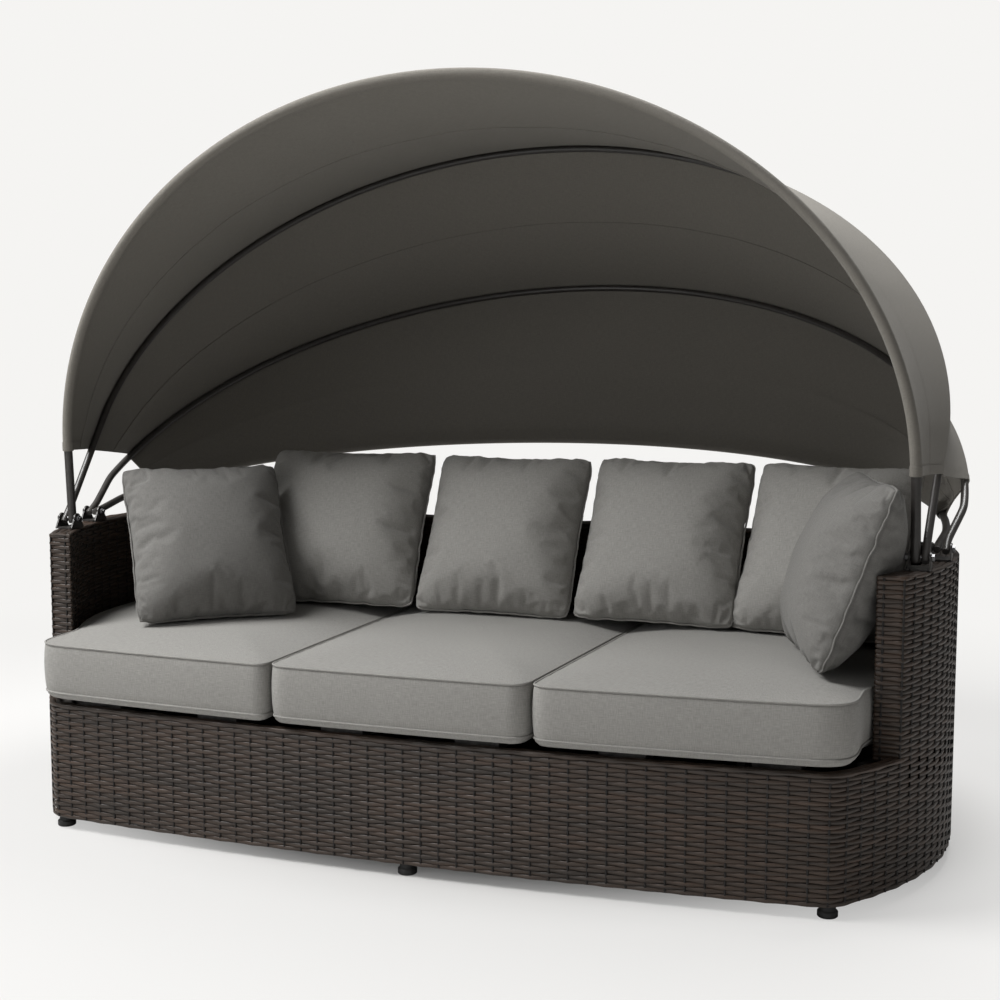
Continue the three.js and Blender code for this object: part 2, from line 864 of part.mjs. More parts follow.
function bowTube(bow) {
  const section = circlePoints(bow.diameter / 2, tubeSides);
  const rings = bowStations(bow).map((station) =>
    section.map((corner) => aroundBow(bow, station, corner.length(), corner.angle())),
  );
  const reach = bow.pinX + bow.diameter;
  const hole = crossBar(pinDiameter / 2 + pinClearance, -reach, reach).translate(0, bow.pinY, pinZ);
  return cut(loft(rings, fillOutline(section)), hole);
}

// Canopy cloth

function clothStations(bow) {
  const legs = legPoints(bow).length;
  return bowStations(bow).slice(legs, -legs);
}

// A place on the cloth round a bow, far enough out for its flat facets to clear the tube
function clothOverBow(bow, station, turn) {
  const layer = bow.diameter / 2 + clothEase + clothThickness / 2;
  return aroundBow(bow, station, layer / Math.cos(clothFacetTurn * degree), turn);
}

function outwardOf(bow, station) {
  return inBowPlane(bow, station.outward).sub(inBowPlane(bow, new THREE.Vector2()));
}

// Turn at which the cloth leaves a bow for the next one; direction is 1 forward and -1 back
function crestTurn(bow, station, direction, other, otherStation) {
  const run = aroundBow(other, otherStation, 0, 0).sub(aroundBow(bow, station, 0, 0));
  const ahead = run.dot(forwardOf(bow)) * direction;
  const fall = Math.atan2(-run.dot(outwardOf(bow, station)), ahead) + Math.atan(4 * bayDipShare);
  return direction * THREE.MathUtils.clamp(fall, leastCrestTurn * degree, 2 * clothFacetTurn * degree);
}

// A place in the bay between two bows, where the cloth dips towards the inside
function inBay(bow, station, direction, other, otherStation, share) {
  const turn = crestTurn(bow, station, direction, other, otherStation);
  const otherTurn = crestTurn(other, otherStation, -direction, bow, station);
  const start = clothOverBow(bow, station, turn);
  const end = clothOverBow(other, otherStation, otherTurn);
  const dip = start.distanceTo(end) * bayDipShare * 4 * share * (1 - share);
  const outward = outwardOf(bow, station).add(outwardOf(other, otherStation)).normalize();
  return start.lerp(end, share).addScaledVector(outward, -dip);
}

// From the place where the cloth leaves a bow to the seam halfway across the bay
function halfBay(bow, direction, other, i) {
  const station = clothStations(bow)[i];
  const otherStation = clothStations(other)[i];
  const place = (share) => inBay(bow, station, direction, other, otherStation, share);
  const quarter = place(half * half);
  const seam = place(half);
  const back = quarter.clone().sub(seam).normalize();
  return [place(0), quarter, seam.addScaledVector(back, touchGap / 2)];
}

// The cloth's edge wrapped round a bow as an open sleeve
function sleeve(bow, direction, i) {
  const places = [];
  for (let k = 1; k <= sleeveColumns; k += 1) {
    const turn = (direction * sleeveTurn * degree * k) / sleeveColumns;
    places.push(clothOverBow(bow, clothStations(bow)[i], turn));
  }
  return places;
}

// Points across one panel at one station, from its front edge to its rear edge
function panelLine(bow, ahead, behind, i) {
  const front = ahead ? halfBay(bow, 1, ahead, i) : sleeve(bow, 1, i);
  const rear = behind ? halfBay(bow, -1, behind, i) : sleeve(bow, -1, i);
  return [...front.reverse(), clothOverBow(bow, clothStations(bow)[i], 0), ...rear];
}

// Faces of the narrow end between the two sides of a thickened grid
function stripFaces(columns) {
  const faces = [];
  for (let j = 0; j < columns - 1; j += 1) {
    const across = 2 * columns - 1 - j;
    faces.push([j, j + 1, across - 1], [j, across - 1, across]);
  }
  return faces;
}

// A thin closed body on both sides of a grid of points, both sides split along the same diagonals
function thickened(grid, thickness) {
  const rows = grid.length;
  const columns = grid[0].length;
  const normalAt = (i, j) => {
    const down = grid[Math.min(i + 1, rows - 1)][j].clone().sub(grid[Math.max(i - 1, 0)][j]);
    const across = grid[i][Math.min(j + 1, columns - 1)].clone().sub(grid[i][Math.max(j - 1, 0)]);
    return down.cross(across).normalize();
  };
  const rings = grid.map((row, i) => {
    const upper = row.map((point, j) => point.clone().addScaledVector(normalAt(i, j), thickness / 2));
    const lower = row.map((point, j) => point.clone().addScaledVector(normalAt(i, j), -thickness / 2));
    return [...upper, ...lower.reverse()];
  });
  return loft(rings, stripFaces(columns), columns);
}

function canopyPanel(bow, ahead, behind) {
  const grid = clothStations(bow).map((_, i) => panelLine(bow, ahead, behind, i));
  return thickened(grid, clothThickness);
}

// Seat cushions

// The part of a loop on one side of a line of constant X
function clippedAtX(loop, x, side) {
  const kept = [];
  loop.forEach((point, i) => {
    const next = loop[(i + 1) % loop.length];
    const inside = (point.x - x) * side >= 0;
    if (inside) {
      kept.push(point);
    }
    if (inside !== (next.x - x) * side >= 0) {
      kept.push(point.clone().lerp(next, (x - point.x) / (next.x - point.x)));
    }
  });
  return kept;
}

// Plan of the whole seat: it follows the walls inside the arms and stands out over the skirt
function seatRegion() {
  const inner = wallRuns([wallThickness + seatWallClearance])[0];
  const frontX = inner[0].x;
  const overhung = insetLoop(bodyOutline, -seatFrontOverhang);
  const between = clippedAtX(clippedAtX(overhung, -frontX, 1), frontX, -1);
  const front = between.filter((point) => point.y < armFrontY);
  return [...front, ...inner];
}

// Rounds a loop's corners by averaging it along its own length
function softened(loop, radius) {
  const even = spaced([...loop, loop[0]], seatSamplePitch, Infinity).slice(0, -1);
  const reach = Math.round(radius / seatSamplePitch);
  return even.map((_, i) => {
    const sum = new THREE.Vector2();
    for (let k = -reach; k <= reach; k += 1) {
      sum.add(even[(i + k + even.length) % even.length]);
    }
    return sum.divideScalar(2 * reach + 1);
  });
}

function seatOutline(number) {
  const pitch = seatMiddleWidth + seatCushionGap;
  const leftX = (number - seatCushionCount / 2) * pitch + seatCushionGap / 2;
  const rightX = leftX + seatMiddleWidth;
  const fromLeft = number === 0 ? seatRegion() : clippedAtX(seatRegion(), leftX, 1);
  const both = number === seatCushionCount - 1 ? fromLeft : clippedAtX(fromLeft, rightX, -1);
  const soft = softened(both, seatCornerRadius);
  return spaced([...soft, soft[0]], seatPitch, seatTurnStep).slice(0, -1);
}

function seatCushion(number) {
  const outline = seatOutline(number);
  const centre = new THREE.Box2().setFromPoints(outline).getCenter(new THREE.Vector2());
  const seam = insetLoop(outline, seatSideSwell);
  const lowSeamZ = seatBaseZ + seatLowerSeam;
  const highSeamZ = seatBaseZ + seatCushionRise;
  const rings = [
    ringAt(insetLoop(outline, seatLowerTuck), seatBaseZ),
    ringAt(seam, lowSeamZ),
    ringAt(outline, (lowSeamZ + highSeamZ) / 2),
    ringAt(seam, highSeamZ),
  ];
  for (const share of seatCrownShares) {
    const loop = seam.map((point) => centre.clone().lerp(point, share));
    rings.push(ringAt(loop, highSeamZ + seatCrown * (1 - share ** seatCrownPower)));
  }
  const low = new THREE.Vector3(centre.x, centre.y, seatBaseZ);
  const high = new THREE.Vector3(centre.x, centre.y, highSeamZ + seatCrown);
  return domed(low, rings, high);
}

// Loose pillows

// A place on a pillow's middle surface; u and v run from -1 to 1 across and up
function pillowPlace(size, u, v) {
  const endShare = v < 0 ? pillowFootDrawShare : pillowDrawShare;
  const sideDraw = pillowDrawShare * size.width * (1 - v * v) * Math.abs(u) ** 3;
  const endDraw = endShare * size.height * (1 - u * u) * Math.abs(v) ** 3;
  const x = (u * size.width) / 2 - Math.sign(u) * sideDraw;
  const z = (size.height * (1 + v)) / 2 - Math.sign(v) * endDraw;
  return new THREE.Vector3(x, 0, z);
}

// A filled cover of two equal faces, sewn round a thin edge and fullest in the middle
function pillowForm(size) {
  const positions = [];
  const indexOf = new Map();
  const coordinate = (k) => Math.sin(quarterTurn * ((2 * k) / pillowCells - 1));
  const vertex = (i, j, side) => {
    const onEdge = i === 0 || j === 0 || i === pillowCells || j === pillowCells;
    const key = `${i} ${j} ${onEdge ? 0 : side}`;
    if (!indexOf.has(key)) {
      const u = coordinate(i);
      const v = coordinate(j);
      const fullness = onEdge ? 0 : ((1 - u * u) * (1 - v * v)) ** pillowEdgePower;
      const place = pillowPlace(size, u, v);
      place.y = (side * size.thickness * fullness) / 2;
      indexOf.set(key, positions.length);
      positions.push(place);
    }
    return indexOf.get(key);
  };
  const faces = [];
  for (const side of [-1, 1]) {
    for (let i = 0; i < pillowCells; i += 1) {
      for (let j = 0; j < pillowCells; j += 1) {
        const a = vertex(i, j, side);
        const b = vertex(i + 1, j, side);
        const c = vertex(i + 1, j + 1, side);
        const d = vertex(i, j + 1, side);
        const rising = (i < pillowCells / 2) !== (j < pillowCells / 2);
        const pair = rising ? [[a, b, c], [a, c, d]] : [[a, b, d], [b, c, d]];
        faces.push(...pair.map((face) => (side < 0 ? face : [...face].reverse())));
      }
    }
  }
  return bodyFrom(positions, faces);
}

// How far a geometry can sink before one of its corners, or one of a support's, meets the other
function dropTo(geometry, supports) {
  const caster = new THREE.Raycaster();
  const skin = new THREE.MeshBasicMaterial({ side: THREE.DoubleSide });
  const start = new THREE.Vector3();
  let drop = Infinity;
  const tryFrom = (corners, target, direction) => {
    const mesh = new THREE.Mesh(target, skin);
    const places = corners.getAttribute('position');
    for (let i = 0; i < places.count; i += 1) {
      caster.set(start.fromBufferAttribute(places, i), direction);
      const hits = caster.intersectObject(mesh);
      drop = hits.length ? Math.min(drop, hits[0].distance) : drop;
    }
  };
  for (const support of supports) {
    tryFrom(geometry, support, new THREE.Vector3(0, 0, -1));
    tryFrom(support, geometry, new THREE.Vector3(0, 0, 1));
  }
  return drop;
}

// Stands a pillow on its supports, leaning back and turned about the upright
function placedPillow(size, place, supports) {
  const pillow = pillowForm(size);
  pillow.rotateX(-place.lean * degree);
  pillow.rotateZ(place.turn * degree);
  pillow.translate(place.x, place.y, armTopZ);
  return pillow.translate(0, 0, touchGap - dropTo(pillow, supports));
}

// Assembly

const group = new THREE.Group();

function add(name, geometry, meshMaterial) {
  const mesh = new THREE.Mesh(geometry, meshMaterial);
  mesh.name = name;
  group.add(mesh);
}

function addBody() {
  add('front_skirt_weave', frontSkirtWeave(), wovenResin());
  add('back_weave', backWeave(), wovenResin());
  add('base_rail', baseRail(), paintedSteel());
  add('top_rail', topRail(), paintedSteel());
  add('front_seat_rail', frontSeatRail(), paintedSteel());
  add('wall_seat_rail', wallSeatRail(), paintedSteel());
  add('front_leg_middle', frontLeg(0), paintedSteel());
  add('front_foot_middle', foot(frontSpot(0, wallMiddle)), blackRubber());
  add('rear_foot_middle', foot(backSpot(0)), blackRubber());
  for (let number = 0; number < slatCount; number += 1) {
    add(`seat_slat_${number + 1}`, seatSlat(number), paintedSteel());
  }
}

function addSide(name, side) {
  add(`side_weave_${name}`, sideWeave(side), wovenResin());
  add(`arm_post_${name}`, wallPost(sideSpot(side, armPostY)), paintedSteel());
  add(`hinge_post_${name}`, wallPost(sideSpot(side, hingePostY)), paintedSteel());
  add(`back_post_${name}`, wallPost(backSpot(side * backPostX)), paintedSteel());
  add(`front_leg_${name}`, frontLeg(side * frontLegX), paintedSteel());
  add(`front_foot_${name}`, foot(frontSpot(side * (bodyWidth / 2 - frontFootFromSide), wallMiddle)), blackRubber());
  add(`rear_foot_${name}`, foot(backSpot(side * (bodyWidth / 2 - rearFootFromSide))), blackRubber());
  for (const [end, hinge] of [['front', frontHinge], ['rear', rearHinge]]) {
    add(`${end}_hinge_bracket_${name}`, hingeBracket(hinge, side), paintedSteel());
    add(`${end}_hinge_bolt_${name}`, hingeBolt(hinge, side), zincSteel());
    add(`${end}_hinge_nut_${name}`, hingeNut(hinge, side), zincSteel());
  }
}

function addCanopy() {
  add('front_bow', bowTube(frontBow), paintedSteel());
  add('second_bow', bowTube(secondBow), paintedSteel());
  add('third_bow', bowTube(thirdBow), paintedSteel());
  add('rear_bow', bowTube(rearBow), paintedSteel());
  add('canopy_front_panel', canopyPanel(frontBow, null, secondBow), canopyCloth());
  add('canopy_second_panel', canopyPanel(secondBow, frontBow, thirdBow), canopyCloth());
  add('canopy_third_panel', canopyPanel(thirdBow, secondBow, rearBow), canopyCloth());
  add('canopy_rear_panel', canopyPanel(rearBow, thirdBow, null), canopyCloth());
}

function addCushions() {
  const seats = [];
  for (let number = 0; number < seatCushionCount; number += 1) {
    seats.push(seatCushion(number));
    add(`seat_cushion_${number + 1}`, seats[number], cushionCloth());
  }
  const row = [
    { size: firstBackPillow, place: firstPillowPlace },
    { size: backPillow, place: secondPillowPlace },
    { size: backPillow, place: thirdPillowPlace },
    { size: backPillow, place: fourthPillowPlace },
  ];
  let x = bodyWidth / 2;
  let halfBefore = 0;
  for (let number = backPillowCount; number > 0; number -= 1) {
    const { size, place } = row[number - 1];
    x -= halfBefore + place.spacing + size.width / 2;
    halfBefore = size.width / 2;
    const y = widestY + backReach - place.fromBack;
    add(`back_pillow_${number}`, placedPillow(size, { ...place, x, y }, seats), cushionCloth());
  }
  const leftPlace = { ...leftPillowPlace, x: leftPillowPlace.fromSide - bodyWidth / 2 };
  const rightPlace = { ...rightPillowPlace, x: bodyWidth / 2 - rightPillowPlace.fromSide };
  add('arm_pillow_left', placedPillow(armPillow, leftPlace, seats), cushionCloth());
  add('arm_pillow_right', placedPillow(armPillow, rightPlace, seats), cushionCloth());
}

addBody();
addSide('left', -1);
addSide('right', 1);
addCanopy();
addCushions();

const extent = new THREE.Box3().setFromObject(group);
group.position.y = -(extent.min.y + extent.max.y) / 2;

export default group;
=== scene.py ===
"""Three-seat outdoor daybed with a folding canopy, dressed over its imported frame, in metres.

The file is laid out as an add-on: each operator makes one piece or one group of like pieces,
the property groups hold the sizes and colours that a user would change, and main runs them in order.
"""

import json
import math

import bmesh
import bpy
import numpy as np
from bpy.props import FloatProperty, FloatVectorProperty, IntProperty, PointerProperty
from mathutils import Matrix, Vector


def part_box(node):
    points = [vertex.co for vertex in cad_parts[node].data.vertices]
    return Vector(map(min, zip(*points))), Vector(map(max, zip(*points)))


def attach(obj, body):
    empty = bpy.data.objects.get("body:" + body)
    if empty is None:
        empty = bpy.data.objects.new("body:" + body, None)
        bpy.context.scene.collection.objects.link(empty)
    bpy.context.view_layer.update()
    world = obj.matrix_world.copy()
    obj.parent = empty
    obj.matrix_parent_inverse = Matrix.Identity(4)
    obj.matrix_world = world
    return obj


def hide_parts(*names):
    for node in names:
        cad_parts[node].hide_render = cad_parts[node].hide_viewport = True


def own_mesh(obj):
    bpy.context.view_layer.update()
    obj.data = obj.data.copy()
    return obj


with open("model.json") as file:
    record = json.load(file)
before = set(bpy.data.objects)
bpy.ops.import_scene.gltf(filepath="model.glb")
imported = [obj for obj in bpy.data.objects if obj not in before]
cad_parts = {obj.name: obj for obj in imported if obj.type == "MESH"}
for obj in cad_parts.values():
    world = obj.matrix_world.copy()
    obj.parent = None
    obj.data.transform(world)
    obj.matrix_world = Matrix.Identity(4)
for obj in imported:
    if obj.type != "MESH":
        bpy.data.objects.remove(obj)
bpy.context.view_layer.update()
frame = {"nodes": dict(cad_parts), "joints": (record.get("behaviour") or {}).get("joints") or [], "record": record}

bl_info = {
    "name": "Canopy Daybed",
    "version": (1, 0, 0),
    "blender": (4, 5, 0),
    "location": "3D View > Sidebar > Daybed",
    "description": "Dresses a woven outdoor daybed with its cushions and folding canopy",
    "category": "Object",
}

MM = 0.001
SIDES = {"left": -1, "right": 1}
BODY = "body"

# Places and heights taken from the frame
joints = {joint["name"]: joint for joint in frame["joints"]}
PIN_Y = joints["front_bow_hinge"]["pos_m"][1]
REAR_PIN_Y = joints["third_bow_hinge"]["pos_m"][1]
PIN_Z = joints["front_bow_hinge"]["pos_m"][2]
ARM_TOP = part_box("side_weave_left")[1].z
SKIRT_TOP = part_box("front_skirt_weave")[1].z
WEAVE_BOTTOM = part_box("front_skirt_weave")[0].z
SEAT_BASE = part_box("seat_cushion_2")[0].z
FRONT_PIN_X = 0.5 * (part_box("front_hinge_bracket_right")[0].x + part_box("front_hinge_bracket_right")[1].x)
REAR_PIN_X = 0.5 * (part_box("rear_hinge_bracket_right")[0].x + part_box("rear_hinge_bracket_right")[1].x)

# Plan of the woven body
HALF_WIDTH = 995 * MM
WIDEST_Y = PIN_Y + 200 * MM
SIDE_REACH = 806 * MM
SIDE_POWER = 2
BACK_REACH = 325 * MM
BACK_POWER = 3.2
SKIRT_FRONT_Y = PIN_Y - 290 * MM
SKIRT_BOW = 38 * MM
SKIRT_CORNER_RUN = 22 * MM
ARM_FRONT_Y = PIN_Y - 102 * MM
WALL = 50 * MM
SKIRT_RETURN = 26 * MM

# Canopy bows: each lies in its own plane, tilted up from level about its hinge pin
BOW_TAIL = 10 * MM
LEG_BEND = 26 * MM
LEG_EASE = 16
TOUCH = 0.3 * MM
FRONT_BOW_DIAMETER = 19 * MM
REAR_BOW_DIAMETER = 16 * MM

# Two bow ends share a bracket; these are their distances from its middle
THIN_SIDE = REAR_BOW_DIAMETER / 2 + TOUCH
THICK_SIDE = FRONT_BOW_DIAMETER / 2 + TOUCH


def bow(node, body, pin_y, pin_x, diameter, tilt, half_width, start, crown, hem):
    """A bow's shape; tilt is in degrees and the lengths after it are in millimetres."""
    return {
        "node": node, "body": body, "pin": np.array([0, pin_y, PIN_Z]), "pin_x": pin_x,
        "radius": diameter / 2, "tilt": math.radians(tilt), "half_width": half_width * MM,
        "start": start * MM, "crown": crown * MM, "hem": hem * MM,
    }


FRONT_BOW = bow("front_bow", "front_bow_body", PIN_Y, FRONT_PIN_X - THIN_SIDE, FRONT_BOW_DIAMETER,
                tilt=94.4, half_width=927, start=150, crown=930, hem=155)
SECOND_BOW = bow("second_bow", "second_bow_body", PIN_Y, FRONT_PIN_X + THICK_SIDE, REAR_BOW_DIAMETER,
                 tilt=49.8, half_width=962, start=300, crown=1130, hem=192)
THIRD_BOW = bow("third_bow", "third_bow_body", REAR_PIN_Y, REAR_PIN_X + THIN_SIDE, REAR_BOW_DIAMETER,
                tilt=28.9, half_width=999, start=140, crown=1106, hem=237)
REAR_BOW = bow("rear_bow", BODY, REAR_PIN_Y, REAR_PIN_X - THIN_SIDE, REAR_BOW_DIAMETER,
               tilt=9, half_width=966, start=110, crown=856, hem=250)
BOWS = (FRONT_BOW, SECOND_BOW, THIRD_BOW, REAR_BOW)

# Loose pillows: width, height and thickness
BACK_PILLOW = (356 * MM, 396 * MM, 158 * MM)
FIRST_BACK_PILLOW = (392 * MM, 396 * MM, 158 * MM)
ARM_PILLOW = (350 * MM, 380 * MM, 134 * MM)


def wider(size, extra):
    """The size of a cover that is cut a few millimetres wider, so that it meets its neighbours."""
    return (size[0] + extra * MM, *size[1:])


# Each pillow's size, the x and y of its lower edge's middle in millimetres, its turn and its lean
PILLOW_PLACES = {
    "back_pillow_1": (wider(FIRST_BACK_PILLOW, 24), -408, 243, 4, 30),
    "back_pillow_2": (wider(BACK_PILLOW, 18), -14, 250, 0, 30),
    "back_pillow_3": (wider(BACK_PILLOW, 14), 357, 247, -3, 30),
    "back_pillow_4": (wider(BACK_PILLOW, 8), 702, 218, -11, 29),
    "arm_pillow_left": (wider(ARM_PILLOW, 10), -550, -12, 41, 32),
    "arm_pillow_right": (ARM_PILLOW, 724, 16, -72, 21),
}


# Sizes and colours


def colour(name, description, default):
    return FloatVectorProperty(name=name, description=description, subtype="COLOR", size=3,
                               min=0, max=1, default=default)


def length(name, description, default):
    return FloatProperty(name=name, description=description, default=default, min=0,
                         unit="LENGTH", subtype="DISTANCE")


def factor(name, description, default, most):
    return FloatProperty(name=name, description=description, default=default, min=0, max=most,
                         subtype="FACTOR")


def watts(name, description, default):
    return FloatProperty(name=name, description=description, default=default, min=0, unit="POWER")


def degrees(name, description, default):
    return FloatProperty(name=name, description=description, default=math.radians(default), subtype="ANGLE")


class WeaveSettings(bpy.types.PropertyGroup):
    stake_pitch: length("Stake pitch", "Distance between upright stakes", 37 * MM)
    border_rise: length("Border rise", "Height of the front border over the seat ledge", 9 * MM)
    row_pitch: length("Row pitch", "Height of one row of strands", 8.5 * MM)
    strand_thickness: length("Strand thickness", "Thickness of a flat strand", 1.35 * MM)
    swing: length("Swing", "How far a strand swings in front of and behind the stakes", 1.35 * MM)
    strand_colour: colour("Strand colour", "Main colour of the resin strands", (0.036, 0.0246, 0.0176))
    # The core colour is near-black painted shade for the gaps between and behind the strands.
    weave_shade_colour: colour("Core colour", "Colour between and behind the strands", (0.008, 0.006, 0.005))


class CanopySettings(bpy.types.PropertyGroup):
    cloth_colour: colour("Cloth colour", "Colour of the canopy cloth", (0.182, 0.171, 0.151))
    thickness: length("Thickness", "Thickness of the canopy cloth", 1.4 * MM)
    dip: factor("Dip", "Dip of the cloth as a share of a bay", 0.05, 0.2)
    sleeve_reach: length("Sleeve reach", "From the front bow's middle to the seam of its sleeve", 20 * MM)
    flap: length("Flap", "Width of the sleeve's flap beyond its seam", 11 * MM)
    lap: length("Lap", "Overlap of two panels at their seam", 9 * MM)


class CushionSettings(bpy.types.PropertyGroup):
    cloth_colour: colour("Cloth colour", "Colour of the cushion covers", (0.290, 0.283, 0.267))
    # The arm pillows use the cushion cloth darkened, as painted shade.
    arm_painted_shade_colour: colour("Arm pillow colour", "Colour of the arm pillows, a shade darker",
                       (0.160, 0.156, 0.147))
    cover_slack: factor("Cover slack", "How much larger a pillow's cover is than its shape", 0.05, 0.2)
    filling_pressure: FloatProperty(name="Filling pressure", default=4.0, min=0,
                                    description="Press of a pillow's filling on its cover")
    piping_radius: length("Piping radius", "Radius of the piping in the seams", 2.3 * MM)
    seat_rise: length("Seat rise", "Height of the upper seam over the cushion's underside", 118 * MM)
    seat_crown: length("Seat crown", "Rise of a seat cushion's top over its upper seam", 25 * MM)
    seat_middle_width: length("Middle width", "Width of the middle seat cushion", 560 * MM)
    seat_fan: length("Seat fan", "How far the joints of the seat spread towards the back", 8 * MM)
    seat_slant: length("Seat slant", "How far both joints of the seat lean to the right at the back",
                       18 * MM)
    seat_gap: length("Seat gap", "Gap between two seat cushions", 2 * MM)


class FrameSettings(bpy.types.PropertyGroup):
    paint_colour: colour("Paint colour", "Powder coat on the steel", (0.030, 0.027, 0.025))
    zinc_colour: colour("Zinc colour", "Plated bolts and nuts", (0.20, 0.20, 0.205))
    rubber_colour: colour("Rubber colour", "Moulded feet", (0.012, 0.012, 0.012))
    bow_sides: IntProperty(name="Bow sides", description="Sides of a bow's round section", default=16,
                           min=8, max=64)


class StageSettings(bpy.types.PropertyGroup):
    backdrop_colour: colour("Backdrop colour", "Colour behind and under the daybed", (0.913, 0.905, 0.888))
    floor_colour: colour("Floor colour", "Colour of the lit floor near the daybed", (0.61, 0.603, 0.59))
    floor_glow_colour: colour("Floor glow colour", "Colour that lightens the near floor",
                              (0.955, 0.950, 0.940))
    floor_glow: factor("Floor glow", "Share of the glow's colour in the near floor", 0.55, 1)
    key_power: watts("Key power", "Power of the high lamp at the left", 235)
    fill_power: watts("Fill power", "Power of the low lamp in front", 40)
    top_power: watts("Top power", "Power of the lamp over the canopy", 150)
    sky_strength: FloatProperty(name="Sky strength", description="Strength of the light all round",
                                default=0.17, min=0)
    camera_place: FloatVectorProperty(name="Camera place", description="Where the camera stands",
                                      subtype="TRANSLATION", default=(1.18375, PIN_Y - 3.07529, 1.06782))
    camera_dip: degrees("Camera dip", "How far the camera looks down", 6.21)
    camera_turn: degrees("Camera turn", "Turn of the camera about the upright", 19.43)
    lens: FloatProperty(name="Lens", description="Focal length", default=57.6, min=1, unit="CAMERA")


# Mesh making


def quads(grid):
    """The four corners of every cell of a grid."""
    return np.stack([grid[:-1, :-1], grid[1:, :-1], grid[1:, 1:], grid[:-1, 1:]], 2)


def new_object(name, data):
    made = bpy.data.objects.new(name, data)
    bpy.context.scene.collection.objects.link(made)
    return made


class MeshParts:
    """Grids and fans of faces that together become one mesh, with one UV place per face corner."""

    def __init__(self):
        self.points, self.faces, self.corner_uvs, self.slots = [], [], [], []
        self.count = 0

    def add_grid(self, points, close_along=False, close_across=False, slot=0):
        """A sheet of faces over a grid of points; slot is the number of its material."""
        rows, columns = points.shape[:2]
        index = self.count + np.arange(rows * columns).reshape(rows, columns)
        if close_along:
            index = np.vstack([index, index[:1]])
        if close_across:
            index = np.hstack([index, index[:, :1]])
        uv = lengths_uv(points, close_along, close_across)
        self.faces.append(quads(index).reshape(-1, 4))
        self.corner_uvs.append(quads(uv).reshape(-1, 2))
        self.slots.append(np.full(len(self.faces[-1]), slot))
        self.points.append(points.reshape(-1, 3))
        self.count += rows * columns

    def add_cap(self, ring, centre):
        """A fan from a closed ring to one point."""
        count = len(ring)
        around = np.arange(count)
        faces = np.stack([around, (around + 1) % count, np.full(count, count)], 1) + self.count
        points = np.vstack([ring, centre[None]])
        self.faces.append(faces)
        self.corner_uvs.append(points[(faces - self.count).ravel()][:, :2])
        self.slots.append(np.zeros(count, int))
        self.points.append(points)
        self.count += count + 1

    def add_rod(self, rings):
        """Closed rings one after another, with a fan over the first and the last."""
        self.add_grid(rings, close_across=True)
        self.add_cap(rings[0], rings[0].mean(0))
        self.add_cap(rings[-1][::-1], rings[-1].mean(0))

    def build(self, name, materials, body=BODY, flip=False):
        """One object from all the parts; flip turns every face over."""
        mesh = bpy.data.meshes.new(name)
        points = np.concatenate(self.points)
        order = slice(None, None, -1) if flip else slice(None)
        vertex_index = np.concatenate([face[:, order].ravel() for face in self.faces])
        sizes = np.concatenate([np.full(len(face), face.shape[1]) for face in self.faces])
        uvs = np.concatenate([
            uv.reshape(len(face), face.shape[1], 2)[:, order].reshape(-1, 2)
            for face, uv in zip(self.faces, self.corner_uvs)
        ])
        mesh.vertices.add(len(points))
        mesh.vertices.foreach_set("co", points.astype(np.float32).ravel())
        mesh.loops.add(len(vertex_index))
        mesh.loops.foreach_set("vertex_index", vertex_index.astype(np.int32))
        mesh.polygons.add(len(sizes))
        starts = np.concatenate([[0], np.cumsum(sizes)[:-1]])
        mesh.polygons.foreach_set("loop_start", starts.astype(np.int32))
        mesh.polygons.foreach_set("material_index", np.concatenate(self.slots).astype(np.int32))
        mesh.update(calc_edges=True)
        mesh.polygons.foreach_set("use_smooth", np.ones(len(sizes), bool))
        mesh.uv_layers.new(name="lengths").data.foreach_set("uv", uvs.astype(np.float32).ravel())
        for made in materials:
            mesh.materials.append(made)
        piece = new_object(name, mesh)
        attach(piece, body)
        return piece


def lengths_uv(points, close_along=False, close_across=False):
    """UV places in metres: U runs along the rows of a grid and V across its columns."""
    if close_along:
        points = np.concatenate([points, points[:1]])
    if close_across:
        points = np.concatenate([points, points[:, :1]], 1)
    along = np.linalg.norm(np.diff(points, axis=0), axis=2).mean(1)
    across = np.linalg.norm(np.diff(points, axis=1), axis=2).mean(0)
    u = np.concatenate([[0], np.cumsum(along)])
    v = np.concatenate([[0], np.cumsum(across)])
    return np.stack(np.meshgrid(u, v, indexing="ij"), 2)


def unit(vectors):
    """Vectors of the same directions with a length of 1."""
    return vectors / np.maximum(np.linalg.norm(vectors, axis=-1, keepdims=True), 1e-12)


def grid_normals(points):
    down = np.gradient(points, axis=0)
    across = np.gradient(points, axis=1)
    return unit(np.cross(down, across))


def thick_sheet(parts, points, thickness):
    """Both faces and the rim of a thin sheet round a grid of points."""
    normals = grid_normals(points)
    upper = points + normals * thickness / 2
    lower = points - normals * thickness / 2
    parts.add_grid(upper)
    parts.add_grid(lower[:, ::-1])
    for top, bottom in ((upper[0], lower[0]), (lower[-1], upper[-1]),
                        (lower[:, 0], upper[:, 0]), (upper[:, -1], lower[:, -1])):
        parts.add_grid(np.stack([top, bottom], 0))


PIPING_SIDES = 8
ALMOST_UP = np.array([0.02, 0.01, 1.0])


def add_piping(parts, seam, radius):
    """Round piping along a closed seam."""
    along = unit(np.roll(seam, -1, 0) - np.roll(seam, 1, 0))
    side = unit(np.cross(along, ALMOST_UP))
    up = np.cross(side, along)
    cos, sin = circle(PIPING_SIDES).T[:, None, :, None]
    ring = cos * side[:, None] + sin * up[:, None]
    parts.add_grid(seam[:, None] + radius * ring, close_along=True, close_across=True)


def circle(sides):
    """Points round a circle of radius 1, each with its x and y."""
    turn = np.linspace(0, 2 * np.pi, sides, endpoint=False)
    return np.column_stack([np.cos(turn), np.sin(turn)])


def run_along(path):
    """The length of a path up to each of its points."""
    return np.concatenate([[0], np.cumsum(np.linalg.norm(np.diff(path, axis=0), axis=1))])


